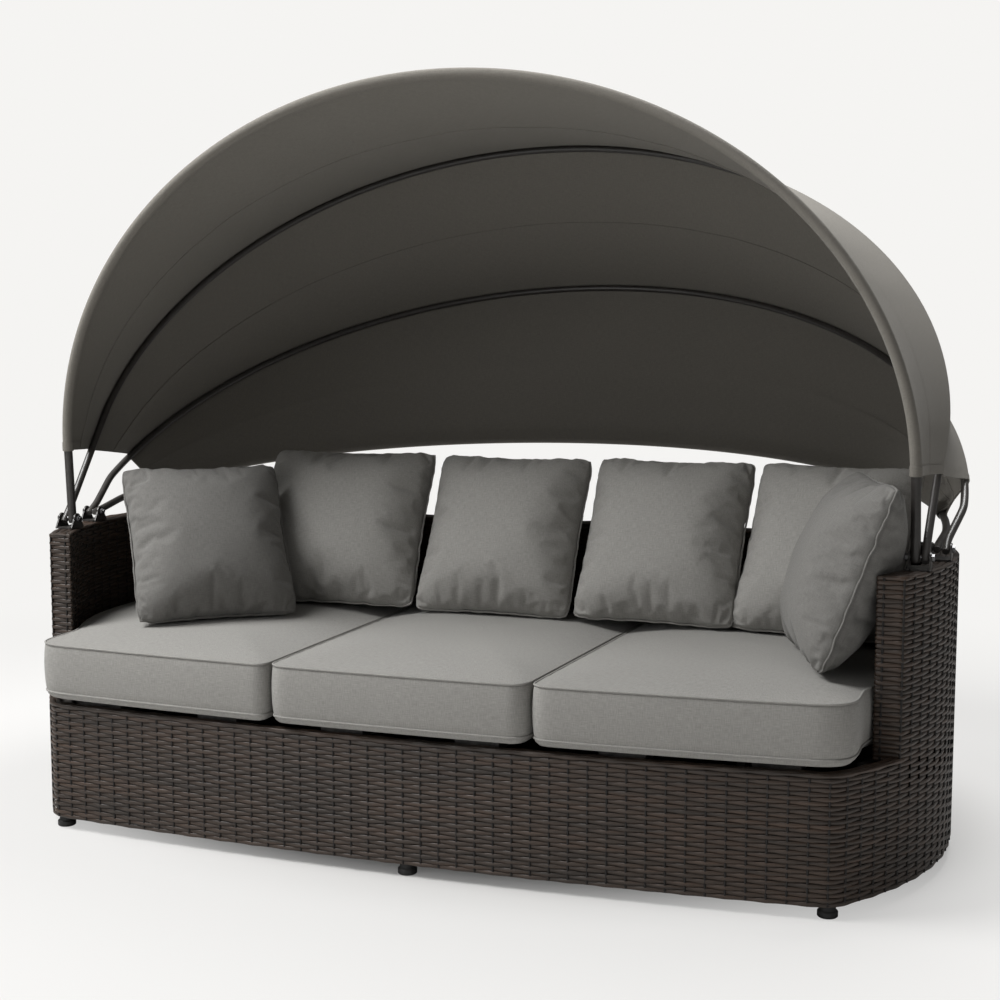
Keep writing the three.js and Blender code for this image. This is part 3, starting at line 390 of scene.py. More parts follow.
def at_height(plan, z):
    """Places of a plan raised to a height, which is one number or one for each place."""
    return np.column_stack([plan, np.broadcast_to(z, len(plan))])


def resampled(points, count, closed=False):
    """Places at equal steps along a path or a loop."""
    path = np.vstack([points, points[:1]]) if closed else points
    run = run_along(path)
    at = np.linspace(0, run[-1], count + 1)[:-1] if closed else np.linspace(0, run[-1], count)
    return np.column_stack([np.interp(at, run, path[:, axis]) for axis in range(path.shape[1])])


def path_length(points):
    return np.linalg.norm(np.diff(points, axis=0), axis=1).sum()


RIPPLE_WAVES = 3
RIPPLE_SUM = 4.5


def ripple(u, seed, wavelength, octaves=3):
    """Smooth repeatable noise along one direction, from about -1 to 1."""
    source = np.random.default_rng(seed)
    total = np.zeros_like(u)
    for octave in range(octaves):
        scale = 2 ** octave
        for _ in range(RIPPLE_WAVES):
            pitch = wavelength / scale * source.uniform(0.75, 1.35)
            total += np.sin(2 * np.pi * u / pitch + source.uniform(0, 2 * np.pi)) / scale
    return total / RIPPLE_SUM


# Body outline


def side_x(y):
    """Half of the body's width at a depth: an ellipse in front, a fuller curve behind."""
    behind = y > WIDEST_Y
    reach = np.where(behind, BACK_REACH, SIDE_REACH)
    power = np.where(behind, BACK_POWER, SIDE_POWER)
    share = np.minimum(np.abs(y - WIDEST_Y) / reach, 1)
    return HALF_WIDTH * (1 - share ** power) ** (1 / power)


CORNER_Y = SKIRT_FRONT_Y + SKIRT_BOW
CORNER_X = float(side_x(np.array(CORNER_Y)))


def skirt_y(x):
    """Depth of the skirt's front, which bows out in the middle."""
    return SKIRT_FRONT_Y + SKIRT_BOW * (x / CORNER_X) ** 2


def half_outline(samples=400):
    """Right half of the body's plan, from the middle of the front to the middle of the back."""
    arc_end = CORNER_X - SKIRT_CORNER_RUN
    side_start = CORNER_Y + SKIRT_CORNER_RUN
    front_x = np.linspace(0, arc_end, samples)
    front = np.column_stack([front_x, skirt_y(front_x)])
    share = np.linspace(0, 1, samples // 8)[1:-1, None]
    start = np.array([arc_end, skirt_y(arc_end)])
    middle = np.array([CORNER_X, CORNER_Y])
    end = np.array([float(side_x(np.array(side_start))), side_start])
    corner = (1 - share) ** 2 * start + 2 * share * (1 - share) * middle + share ** 2 * end
    side_y = np.linspace(side_start, WIDEST_Y, samples)
    side = np.column_stack([side_x(side_y), side_y])
    turn = np.linspace(0, np.pi / 2, samples * 2)[1:]
    back = np.column_stack([HALF_WIDTH * np.cos(turn).clip(0) ** (2 / BACK_POWER),
                            WIDEST_Y + BACK_REACH * np.sin(turn) ** (2 / BACK_POWER)])
    return np.vstack([front, corner, side, back])


def body_loop(count=2400):
    """The whole plan as a loop, anticlockwise from the middle of the back."""
    right = half_outline()
    left = right[::-1] * [-1, 1]
    return resampled(np.vstack([left[:-1], right[:-1]]), count, closed=True)


BODY_LOOP = body_loop()
BODY_LENGTH = path_length(np.vstack([BODY_LOOP, BODY_LOOP[:1]]))


def outward_normals(loop, closed=True):
    along = unit(np.roll(loop, -1, 0) - np.roll(loop, 1, 0) if closed else np.gradient(loop, axis=0))
    return np.column_stack([along[:, 1], -along[:, 0]])


def moved_in(loop, inset):
    return loop - outward_normals(loop) * inset


def inset_loop(inset):
    return moved_in(BODY_LOOP, inset)


def half_ring(inset):
    """Half of the path round the wall: from the back's middle along the outside to the left arm's
    front, across it, and along the inside to the middle again; with the length of its outer part."""
    front_y = ARM_FRONT_Y + inset
    half = len(BODY_LOOP) // 2
    outer = inset_loop(inset)[:half]
    inner = inset_loop(WALL - inset)[:half]
    outer = outer[outer[:, 1] > front_y]
    inner = inner[inner[:, 1] > front_y]
    return np.vstack([outer, inner[::-1]]), path_length(outer)


# Weaving


# Steps of a strand from one stake to the next
STRAND_STEPS = 4

# A strand's section, as shares of its width and thickness
SECTION_ACROSS = np.array([-0.49, -0.27, 0.27, 0.49])
SECTION_LIFT = np.array([-0.25, 1.0, 1.0, -0.25])

# How strands differ: shares of the swing, the width and the thickness, and lengths of the waves
SWING_CHANGE, SWING_WAVE = 0.22, 0.31
DRIFT, DRIFT_WAVE = 0.07, 0.47
WIDTH_MEAN, WIDTH_CHANGE = 0.97, 0.05
LEAST_LIFT, LIFT_CHANGE = 0.9, 0.2
SWING_SEED, DRIFT_SEED, BORDER_ROW, FLAT_ROW = 50, 90, 28, 200

UP = np.array([0.0, 0.0, 1.0])
STAKE_RADIUS = 2.3 * MM
STAKE_SIDES = 6

# How deep the stakes and the top of the walls lie, as a share of a strand's thickness
STRAND_BED = 0.6

# The skin behind the strands, whose near-black colour is painted shade, and the rows that lie flat on the wall and
# the ledge
LINING_INSET = 8 * MM
LINING_DROP = 4 * MM
ROW_MIDDLES = (0.5, 1.5)
WALL_LINING_POINTS = 240
LEDGE_POINTS = 200
LEDGE_TUCK = 4 * MM


def stake_pitch():
    """The pitch that lets the rows close round the whole body with an even number of stakes."""
    count = 2 * round(BODY_LENGTH / bpy.context.scene.daybed_weave.stake_pitch / 2)
    return BODY_LENGTH / count


def body_stations():
    """Places round the whole plan at equal steps of the weave's phase, starting on a stake."""
    steps = round(BODY_LENGTH / stake_pitch()) * STRAND_STEPS
    return resampled(BODY_LOOP, steps, closed=True)


def wall_stations(inset):
    """Places round the wall at equal steps of phase; its outside keeps the whole body's stakes."""
    half, outer_length = half_ring(inset)
    run = run_along(half)
    outer_phase = outer_length / stake_pitch()
    rest_phase = round(outer_phase + (run[-1] - outer_length) / stake_pitch()) - outer_phase
    outside = run <= outer_length
    phase = np.where(outside, run / stake_pitch(),
                     outer_phase + (run - outer_length) * rest_phase / (run[-1] - outer_length))
    steps = round(phase[-1] * STRAND_STEPS)
    at = np.linspace(0, phase[-1], steps + 1)
    left = np.column_stack([np.interp(at, phase, half[:, axis]) for axis in (0, 1)])
    right = left[::-1] * [-1, 1]
    return np.vstack([left[:-1], right[:-1]])


def strand_row(parts, stations, rise, across, centre, row, swing, width, closed=True):
    """One flat strand that passes in front of and behind the stakes.

    rise is the direction out of the woven face at each station, across the direction over the rows.
    """
    settings = bpy.context.scene.daybed_weave
    count = len(stations)
    source = np.random.default_rng(row)
    phase = np.pi * np.arange(count) / STRAND_STEPS + np.pi * row
    run = np.arange(count) / STRAND_STEPS * settings.stake_pitch
    sway = swing * np.cos(phase) * (1 + SWING_CHANGE * ripple(run, row + SWING_SEED, SWING_WAVE, 1))
    drift = DRIFT * width * ripple(run, row + DRIFT_SEED, DRIFT_WAVE, 2)
    wide = width * (WIDTH_MEAN + WIDTH_CHANGE * np.cos(2 * phase))
    lift = settings.strand_thickness * (LEAST_LIFT + LIFT_CHANGE * source.uniform())
    points = stations[:, None] + rise[:, None] * (centre + sway)[:, None, None]
    points = points + rise[:, None] * (SECTION_LIFT * lift)[None, :, None]
    points = points + across[:, None] * (drift[:, None] + wide[:, None] * SECTION_ACROSS)[:, :, None]
    parts.add_grid(points, close_along=closed)


def upright(stations, z):
    """Stations raised to a height, with the outward direction there."""
    return at_height(stations, z), at_height(outward_normals(stations), 0)


def strand_band(parts, stations, low, high):
    """Rows of strands one over the other."""
    settings = bpy.context.scene.daybed_weave
    count = round((high - low) / settings.row_pitch)
    pitch = (high - low) / count
    up = np.broadcast_to(UP, (len(stations), 3))
    centre = -settings.swing - settings.strand_thickness
    for row in range(count):
        places, rise = upright(stations, low + (row + 0.5) * pitch)
        strand_row(parts, places, rise, up, centre, row, settings.swing, pitch)


def stakes(parts, stations, low, high):
    """The upright rods that the strands pass, one at every whole step of the weave."""
    settings = bpy.context.scene.daybed_weave
    centre = -settings.swing - STRAND_BED * settings.strand_thickness
    at = stations + outward_normals(stations) * centre
    ring = circle(STAKE_SIDES) * STAKE_RADIUS
    for place in at[::STRAND_STEPS]:
        points = np.stack([at_height(place + ring, z) for z in (low, high)])
        # The stakes take the weave's near-black painted shade.
        parts.add_grid(points, close_across=True, slot=1)


def flat_rows(parts, rings, z):
    """Strands that lie along the top of a wall or a ledge, side by side."""
    settings = bpy.context.scene.daybed_weave
    swing = settings.swing / 2
    for row, (stations, width, closed) in enumerate(rings):
        across = at_height(outward_normals(stations, closed), 0)
        rise = np.broadcast_to(UP, (len(stations), 3))
        strand_row(parts, at_height(stations, z), rise, across, -settings.strand_thickness - swing,
                   row + FLAT_ROW, swing, width, closed)


def lining(parts, levels, closed=False):
    """The skin behind the strands, whose near-black colour is painted shade for the gaps, through plans that each
    lie at a height of their own.
    """
    parts.add_grid(np.stack([at_height(plan, z) for plan, z in levels], 1), close_along=closed, slot=1)


def make_walls():
    """The woven walls over the skirt's height, outside and inside, with their woven top."""
    settings = bpy.context.scene.daybed_weave
    parts = MeshParts()
    stations = wall_stations(0)
    strand_band(parts, stations, SKIRT_TOP, ARM_TOP - STRAND_BED * settings.strand_thickness)
    stakes(parts, stations, SKIRT_TOP - WALL, ARM_TOP - 5 * MM)
    top_width = WALL / 4
    rings = [(wall_stations(top_width * share), top_width, True) for share in ROW_MIDDLES]
    flat_rows(parts, rings, ARM_TOP)
    half = len(BODY_LOOP) // 2

    def behind(inset):
        turned = np.roll(inset_loop(inset), half, 0)
        return resampled(turned[turned[:, 1] > ARM_FRONT_Y + LINING_INSET], WALL_LINING_POINTS)

    outer, inner = behind(LINING_INSET), behind(WALL - LINING_INSET)
    low, high = SKIRT_TOP - WALL, ARM_TOP - LINING_INSET / 2
    lining(parts, ((outer, low), (outer, high), (inner, high), (inner, low)))
    for side in (0, -1):
        edge = np.array([outer[side], inner[side]])
        parts.add_grid(np.stack([at_height(edge, z) for z in (low, high)]), slot=1)
    piece = parts.build("woven_walls", [material("woven resin strands"), material("woven resin core")])
    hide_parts("side_weave_left", "side_weave_right", "back_weave")


def ledge_plan(inset):
    """The part of the body's plan that lies in front of the arms."""
    loop = inset_loop(inset)
    return resampled(loop[loop[:, 1] < ARM_FRONT_Y + LEDGE_TUCK], LEDGE_POINTS)


def make_skirt():
    """The woven band round the whole body up to the seat, with the ledge under the cushions."""
    settings = bpy.context.scene.daybed_weave
    parts = MeshParts()
    stations = body_stations()
    strand_band(parts, stations, WEAVE_BOTTOM, SKIRT_TOP)
    stakes(parts, stations, WEAVE_BOTTOM + 2 * MM, SKIRT_TOP)
    ledge_width = SKIRT_RETURN / 2
    border_top = SKIRT_TOP + settings.border_rise
    rings = []
    for share in (0.0, *ROW_MIDDLES):
        plan = ledge_plan(ledge_width * share)
        steps = round(path_length(plan) / settings.stake_pitch) * STRAND_STEPS
        rings.append((resampled(plan, steps + 1), ledge_width, False))
    plan = rings[0][0]
    rise = at_height(outward_normals(plan, closed=False), 0)
    places = at_height(plan, SKIRT_TOP + settings.border_rise / 2)
    strand_row(parts, places, rise, np.broadcast_to(UP, (len(plan), 3)),
               -settings.swing - settings.strand_thickness, BORDER_ROW, settings.swing,
               settings.border_rise, closed=False)
    flat_rows(parts, rings[1:], border_top)
    outer, inner = inset_loop(LINING_INSET)[::10], inset_loop(WALL - LINING_INSET)[::10]
    low, high = SKIRT_TOP - LINING_DROP, border_top - LINING_DROP
    lining(parts, ((inner, WEAVE_BOTTOM + 3 * MM), (outer, WEAVE_BOTTOM + 2 * MM), (outer, low)), closed=True)
    edge, back = ledge_plan(LINING_INSET), ledge_plan(SKIRT_RETURN)
    lining(parts, ((edge, low), (edge, high), (back, high), (back, low)))
    piece = parts.build("woven_skirt", [material("woven resin strands"), material("woven resin core")])
    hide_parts("front_skirt_weave")


# Bows


LEG_STEPS = 60
TAIL_STEPS = 40
TUBE_HALF = 90
ARCH_STEPS = 800
BOW_END_TAPER = 0.86


def leg_x(one, reach):
    """How far out a bow's leg is at a reach along its plane: straight up, then eased over to the arch."""
    share = (reach - LEG_BEND) / (one["start"] - LEG_BEND)
    even = np.logaddexp(0, LEG_EASE * share) - np.logaddexp(0, LEG_EASE * (share - 1))
    risen = np.maximum(reach - one["start"], 0) / (one["crown"] - one["start"])
    spread = (one["half_width"] - one["pin_x"]) * even / LEG_EASE
    return (one["pin_x"] + spread) * np.sqrt(1 - np.minimum(risen, 1) ** 2)


def arch_half(one, count):
    """Half of the arch in its own plane, evenly from the right hem to the crown."""
    hem = one["hem"]
    leg = np.linspace(hem, max(hem, one["start"]), LEG_STEPS)[:-1]
    legs = np.column_stack([leg_x(one, leg), leg])
    rise = one["crown"] - one["start"]
    first = math.asin(max(hem - one["start"], 0) / rise)
    turn = np.linspace(first, np.pi / 2, ARCH_STEPS)
    arch = np.column_stack([one["half_width"] * np.cos(turn), one["start"] + rise * np.sin(turn)])
    path = np.vstack([legs, arch]) if hem < one["start"] else arch
    return resampled(path, count)


def both_sides(right):
    """Places from the right end of an arch to the left one, with the direction out of it."""
    points = np.vstack([right, right[-2::-1] * [-1, 1]])
    return points, outward_normals(points, closed=False)


def arch_stations(one, half_count):
    return both_sides(arch_half(one, half_count + 1))


def in_plane(one, flat):
    """Turns flat places of a bow up into the bow's plane."""
    cos, sin = math.cos(one["tilt"]), math.sin(one["tilt"])
    return np.stack([flat[..., 0], one["pin"][1] + flat[..., 1] * cos, PIN_Z + flat[..., 1] * sin], -1)


def forward_of(one):
    return np.array([0, -math.sin(one["tilt"]), math.cos(one["tilt"])])


def outward_of(one, outward):
    return in_plane(one, outward) - in_plane(one, np.zeros(2))


def around(one, stations, distance, turn):
    """Places round a bow's centre line; no turn faces out of the arch and a positive one forward."""
    points, outward = stations
    turn = np.broadcast_to(turn, len(points))
    flat = points + outward * (distance * np.cos(turn))[:, None]
    return in_plane(one, flat) + forward_of(one) * (distance * np.sin(turn))[:, None]


def make_bows():
    """Each bow as one smooth bent tube with closed ends."""
    sides = bpy.context.scene.daybed_frame.bow_sides
    for one in BOWS:
        reach = np.linspace(-BOW_TAIL, one["hem"], TAIL_STEPS)[:-1]
        leg = np.column_stack([leg_x(one, np.maximum(reach, 0)), reach])
        stations = both_sides(np.vstack([leg, arch_half(one, TUBE_HALF)]))
        radius = np.full(len(stations[0]), one["radius"])
        radius[[0, -1]] *= BOW_END_TAPER
        turns = np.linspace(0, 2 * np.pi, sides, endpoint=False)
        rings = np.stack([around(one, stations, radius, turn) for turn in turns], 1)
        parts = MeshParts()
        parts.add_rod(rings)
        piece = parts.build(one["node"] + "_tube", [material("powder coated steel")], one["body"])
        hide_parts(one["node"])


# Canopy


CLOTH_HALF = 70
BAY_COLUMNS = 12
LEAST_CREST = math.radians(12)
MOST_CREST = math.radians(60)
CLOTH_LIFT = 0.2 * MM
CLOTH_WAVE, WAVE_LENGTH, WAVE_SEED = 1.6 * MM, 0.21, 7

# How far a lap and a sleeve's flap lie inside the cloth, in thicknesses of it
LAP_DROP = 1.15
SLEEVE_DROP = 1.3
SLEEVE_TURNS = np.radians(np.linspace(15, 215, 12))
HEM_THICKNESS = 0.7


def canopy_layer(one):
    return one["radius"] + CLOTH_LIFT + bpy.context.scene.daybed_canopy.thickness / 2


def crest_turn(one, stations, direction, other, other_stations):
    """Turn at which the cloth leaves a bow for the next one; direction is 1 forward and -1 back."""
    run = around(other, other_stations, 0, 0) - around(one, stations, 0, 0)
    ahead = run @ forward_of(one) * direction
    fall = np.arctan2(-(run * outward_of(one, stations[1])).sum(1), ahead)
    fall = fall + math.atan(4 * bpy.context.scene.daybed_canopy.dip)
    return direction * np.clip(fall, LEAST_CREST, MOST_CREST)


def bay_places(one, direction, other, share):
    """Places in the bay between two bows, where the cloth dips towards the inside."""
    stations, other_stations = arch_stations(one, CLOTH_HALF), arch_stations(other, CLOTH_HALF)
    turn = crest_turn(one, stations, direction, other, other_stations)
    other_turn = crest_turn(other, other_stations, -direction, one, stations)
    start = around(one, stations, canopy_layer(one), turn)
    end = around(other, other_stations, canopy_layer(other), other_turn)
    span = np.linalg.norm(end - start, axis=1)
    dip = span * bpy.context.scene.daybed_canopy.dip * 4 * share * (1 - share)
    outward = unit(outward_of(one, stations[1]) + outward_of(other, other_stations[1]))
    middle = np.linspace(-1, 1, len(span))
    wave = CLOTH_WAVE * ripple(middle, WAVE_SEED, WAVE_LENGTH, 2) * 4 * share * (1 - share)
    return start + (end - start) * share + outward * (wave - dip)[:, None]


def half_bay(one, direction, other):
    """Columns of places from a bow to the bay's middle seam; the panel behind laps under the one ahead."""
    settings = bpy.context.scene.daybed_canopy
    columns = [bay_places(one, direction, other, share) for share in np.linspace(0, 0.5, BAY_COLUMNS + 1)]
    span = np.linalg.norm(bay_places(one, direction, other, 1) - columns[0], axis=1).mean()
    lap = settings.lap / span
    if direction > 0:
        inward = -outward_of(one, arch_stations(one, CLOTH_HALF)[1]) * LAP_DROP * settings.thickness
        columns[-1] = columns[-1] + inward
        columns.append(bay_places(one, direction, other, 0.5 + lap) + inward)
    else:
        columns.append(bay_places(one, direction, other, 0.5 + lap / 3))
    return columns


def at_reach(columns, reach):
    """Places on the cloth at a given length from the first column."""
    grid = np.stack(columns)
    steps = np.linalg.norm(np.diff(grid, axis=0), axis=2)
    run = np.vstack([np.zeros(steps.shape[1]), np.cumsum(steps, 0)])
    places = np.empty_like(grid[0])
    for i in range(grid.shape[1]):
        for axis in range(3):
            places[i, axis] = np.interp(reach, run[:, i], grid[:, i, axis])
    return places


def edge_sleeve(one, direction, bay):
    """The cloth's edge round an end bow, on to the seam behind it and its flap."""
    settings = bpy.context.scene.daybed_canopy
    stations = arch_stations(one, CLOTH_HALF)
    columns = [around(one, stations, canopy_layer(one), direction * turn) for turn in SLEEVE_TURNS]
    inward = -outward_of(one, stations[1]) * SLEEVE_DROP * settings.thickness
    columns.append(at_reach(bay, settings.sleeve_reach) + inward)
    columns.append(at_reach(bay, settings.sleeve_reach + settings.flap) + inward)
    return columns


def make_canopy():
    """The four sewn panels of the canopy, with bow pockets, middle seams and hems."""
    settings = bpy.context.scene.daybed_canopy
    plan = (
        ("canopy_front_panel", FRONT_BOW, None, SECOND_BOW, "front_bow_hinge", 0.22),
        ("canopy_second_panel", SECOND_BOW, FRONT_BOW, THIRD_BOW, "second_bow_hinge", 0.25),
        ("canopy_third_panel", THIRD_BOW, SECOND_BOW, REAR_BOW, "third_bow_hinge", 0.26),
        ("canopy_rear_panel", REAR_BOW, THIRD_BOW, None, "third_bow_hinge", 0.22),
    )
    for node, one, ahead, behind, joint, keep in plan:
        parts = MeshParts()
        stations = arch_stations(one, CLOTH_HALF)
        front_bay = half_bay(one, 1, ahead) if ahead else None
        rear_bay = half_bay(one, -1, behind) if behind else None
        front = front_bay or edge_sleeve(one, 1, rear_bay)
        rear = rear_bay or edge_sleeve(one, -1, front_bay)
        crest = [around(one, stations, canopy_layer(one), 0)]
        grid = np.stack(front[::-1] + crest + rear, 1)
        thick_sheet(parts, grid, settings.thickness)
        hem_bands(parts, grid)
        piece = parts.build(node.replace("canopy_", "canopy_cloth_"), [material("canopy cloth")], one["body"])
        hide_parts(node)
        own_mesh(piece)


def hem_bands(parts, grid):
    """A folded hem over both lower ends of a panel."""
    settings = bpy.context.scene.daybed_canopy
    normals = grid_normals(grid)
    for rows in (slice(0, 2), slice(-2, None)):
        band, out = grid[rows], normals[rows]
        for side in (1, -1):
            lifted = band + side * out * settings.thickness
            thick_sheet(parts, lifted, HEM_THICKNESS * settings.thickness)


# Cushions


SEAT_OVERHANG = 12 * MM
SEAT_WALL_GAP = 8 * MM
SEAT_CORNER = 28 * MM
SEAT_LOWER_SEAM = 16 * MM
SEAT_LOWER_TUCK = 22 * MM
SEAT_SWELL = 4 * MM
SEAT_POINTS = 220
CROWN_POWER = 2.8
SEAM_DRAW = 1.2 * MM
PIPING_LIFT = 1.4 * MM
SIDE_PUCKER = 0.9 * MM
TOP_PUCKER, SEAT_PUCKER_WAVE = 1.0 * MM, 55 * MM
TOP_SAG = 1.2 * MM
JOINT_REACH = 90 * MM
JOINT_MIDDLE_Y = PIN_Y + 90 * MM
JOINT_HALF_DEPTH = 380 * MM

# Where the rings of a seat cushion lie, as shares of the way
UNDERSIDE_SHARES = (0.0, 0.25, 0.5, 0.72, 0.88, 0.96)
LOWER_EDGE_SHARES = (0.0, 0.35, 0.7, 0.92)
SIDE_SHARES = np.linspace(0.06, 0.94, 10)
TOP_SHARES = (0.99, 0.975, 0.955, 0.925, 0.88, 0.82, 0.74, 0.64, 0.52, 0.4, 0.27, 0.13)


def clipped_at_x(loop, x, side):
    """The part of a loop to the right (side 1) or to the left (side -1) of x."""
    kept = []
    for i, point in enumerate(loop):
        following = loop[(i + 1) % len(loop)]
        inside = (point[0] - x) * side >= 0
        if inside:
            kept.append(point)
        if inside != ((following[0] - x) * side >= 0):
            kept.append(point + (following - point) * (x - point[0]) / (following[0] - point[0]))
    return np.array(kept)


def seat_region():
    """Plan of the whole seat: inside the arms, and standing out over the skirt in front of them."""
    inner = inset_loop(WALL + SEAT_WALL_GAP)
    inner = np.roll(inner, len(inner) // 2, 0)
    inner = inner[inner[:, 1] > ARM_FRONT_Y]
    front = inset_loop(-SEAT_OVERHANG)
    front = front[(front[:, 1] < ARM_FRONT_Y) & (np.abs(front[:, 0]) < abs(inner[0, 0]))]
    return np.vstack([front, inner])


def softened(loop, radius, step=4 * MM):
    """A loop with its corners rounded by a moving average."""
    even = resampled(loop, round(path_length(loop) / step), closed=True)
    reach = round(radius / step)
    return sum(np.roll(even, shift, 0) for shift in range(-reach, reach + 1)) / (2 * reach + 1)


def seat_outline(number):
    """Plan of one of the three seat cushions, counted from the left."""
    settings = bpy.context.scene.daybed_cushions
    pitch = settings.seat_middle_width + settings.seat_gap
    left = (number - 1.5) * pitch + settings.seat_gap / 2
    outline = seat_region()
    if number > 0:
        outline = clipped_at_x(outline, left, 1)
    if number < 2:
        outline = clipped_at_x(outline, left + settings.seat_middle_width, -1)
    return fanned(resampled(softened(outline, SEAT_CORNER), SEAT_POINTS, closed=True))


def fanned(plan):
    """Spreads the joints between the seat cushions towards the back, and leans both to the right."""
    settings = bpy.context.scene.daybed_cushions
    joint = (settings.seat_middle_width + settings.seat_gap) / 2
    near = np.exp(-((np.abs(plan[:, 0]) - joint) / JOINT_REACH) ** 2)
    back = (plan[:, 1] - JOINT_MIDDLE_Y) / JOINT_HALF_DEPTH
    spread = (np.sign(plan[:, 0]) * settings.seat_fan + settings.seat_slant) * near * back
    return plan + np.column_stack([spread, np.zeros(len(plan))])


def make_seat_cushion(number):
    """A boxed seat cushion with piped seams, full sides and a crowned top."""
    settings = bpy.context.scene.daybed_cushions
    outline = seat_outline(number)
    centre = (outline.min(0) + outline.max(0)) / 2
    low, high = SEAT_BASE + SEAT_LOWER_SEAM, SEAT_BASE + settings.seat_rise
    pucker = ripple(run_along(outline), 11 * number + 1, SEAT_PUCKER_WAVE, 2)
    rings = []
    for share in UNDERSIDE_SHARES:
        plan = centre + (moved_in(outline, SEAT_LOWER_TUCK) - centre) * share
        rings.append(at_height(plan, SEAT_BASE))
    for share in LOWER_EDGE_SHARES:
        angle = share * np.pi / 2
        inset = SEAT_LOWER_TUCK + (SEAT_SWELL - SEAT_LOWER_TUCK) * math.sin(angle)
        rings.append(at_height(moved_in(outline, inset), low - SEAT_LOWER_SEAM * math.cos(angle)))
    seam_low, seam_high = (at_height(moved_in(outline, SEAT_SWELL + SEAM_DRAW), z) for z in (low, high))
    rings.append(seam_low)
    for share in SIDE_SHARES:
        swell = math.sin(math.pi * share) ** 0.7
        fade = math.exp(-share * 5) + math.exp(-(1 - share) * 5)
        inset = SEAT_SWELL * (1 - swell) + SIDE_PUCKER * pucker * fade
        rings.append(at_height(moved_in(outline, inset[:, None]), low + (high - low) * share))
    rings.append(seam_high)
    for inset_share in TOP_SHARES:
        plan = centre + (moved_in(outline, SEAT_SWELL) - centre) * inset_share
        rise = settings.seat_crown * (1 - inset_share ** CROWN_POWER)
        fade = math.exp(-(1 - inset_share) * 16)
        sag = TOP_SAG * np.sin(7 * plan[:, 0] + number) * np.cos(9 * plan[:, 1]) * (1 - inset_share)
        rings.append(at_height(plan, high + rise + TOP_PUCKER * pucker * fade + sag))
    parts = MeshParts()
    parts.add_grid(np.stack(rings), close_across=True)
    parts.add_cap(rings[-1][::-1], np.array([*centre, high + settings.seat_crown]))
    for seam in (seam_low, seam_high):
        lift = at_height(outward_normals(outline), 0) * PIPING_LIFT
        add_piping(parts, seam + lift, settings.piping_radius)
    name = f"seat_cushion_{number + 1}"
    piece = parts.build(name + "_cover", [material("cushion cloth")], flip=True)
    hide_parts(name)


PILLOW_CELLS = 60
PILLOW_CORNER_DRAW = 10 * MM
PILLOW_FULLNESS = 0.40
PUCKER_DEPTH = 2.1 * MM
PILLOW_DRAW = 0.025
PILLOW_FOOT_DRAW = 0.02
GATHER, GATHER_WAVE = 1.6 * MM, 52 * MM
PUCKER_WAVE = 38 * MM
EDGE_SWAY, EDGE_WAVE = 3.0 * MM, 61 * MM
FACE_SLACK, FACE_WAVE = 2.0 * MM, 0.19
SIDE_APART, END_APART = 1, 3  # these keep the four edges on different parts of a ripple
MOST_MOVE = 26 * MM
WALL_CLEARANCE = 1.5 * MM
PIPING_POINTS = 260
CLOTH_FRAMES = 20
COVER = {
    "quality": 6, "mass": 0.12, "tension_stiffness": 14, "compression_stiffness": 14,
    "shear_stiffness": 6, "bending_stiffness": 0.35, "use_pressure": True,
}


def pillow_surface(size, seed):
    """The two faces of a filled cover, as grids that share their edge, before it is placed."""
    width, height, thickness = size
    even = np.linspace(-1, 1, PILLOW_CELLS + 1)
    coordinate = 0.5 * even + 0.5 * np.sin(np.pi / 2 * even)
    u, v = np.meshgrid(coordinate, coordinate, indexing="ij")
    end_draw = np.where(v < 0, PILLOW_FOOT_DRAW, PILLOW_DRAW) * height * (1 - u * u) * np.abs(v) ** 3
    side_draw = PILLOW_DRAW * width * (1 - v * v) * np.abs(u) ** 3
    around_edge = np.where(np.abs(u) > np.abs(v), v * height / 2 + np.sign(u) * SIDE_APART,
                           u * width / 2 + np.sign(v) * END_APART)
    edge_reach = np.maximum(np.abs(u), np.abs(v))
    edge_near = edge_reach ** 12
    corner_draw = PILLOW_CORNER_DRAW * (np.abs(u) * np.abs(v)) ** 6
    gather = ripple(around_edge, seed + 2, GATHER_WAVE, 2) * edge_near
    x = u * width / 2 - np.sign(u) * (side_draw + corner_draw + GATHER * gather * np.abs(u) ** 6)
    z = height * (1 + v) / 2 - np.sign(v) * (end_draw + corner_draw + GATHER * gather * np.abs(v) ** 6)
    fullness = ((1 - u * u) * (1 - v * v)).clip(0) ** PILLOW_FULLNESS
    puckers = PUCKER_DEPTH * ripple(around_edge, seed + 9, PUCKER_WAVE, 2)
    puckers = puckers * edge_reach ** 5 * (1 - edge_reach ** 14)
    sway = EDGE_SWAY * ripple(around_edge, seed + 5, EDGE_WAVE, 2) * edge_near
    slack = FACE_SLACK * ripple(x + z, seed + 30, FACE_WAVE, 1) * fullness
    swell = thickness / 2 * fullness + slack + puckers
    return [np.stack([x, side * swell + sway, z], 2) for side in (-1, 1)]


def pillow_edge(face):
    """The points of a face's edge, once round."""
    return np.concatenate([face[:-1, 0], face[-1, :-1], face[:0:-1, -1], face[0, :0:-1]])


def mesh_points(mesh):
    points = np.empty(len(mesh.vertices) * 3, np.float32)
    mesh.vertices.foreach_get("co", points)
    return points.reshape(-1, 3).astype(float)


def set_points(mesh, points):
    mesh.vertices.foreach_set("co", points.astype(np.float32).ravel())
    mesh.update()


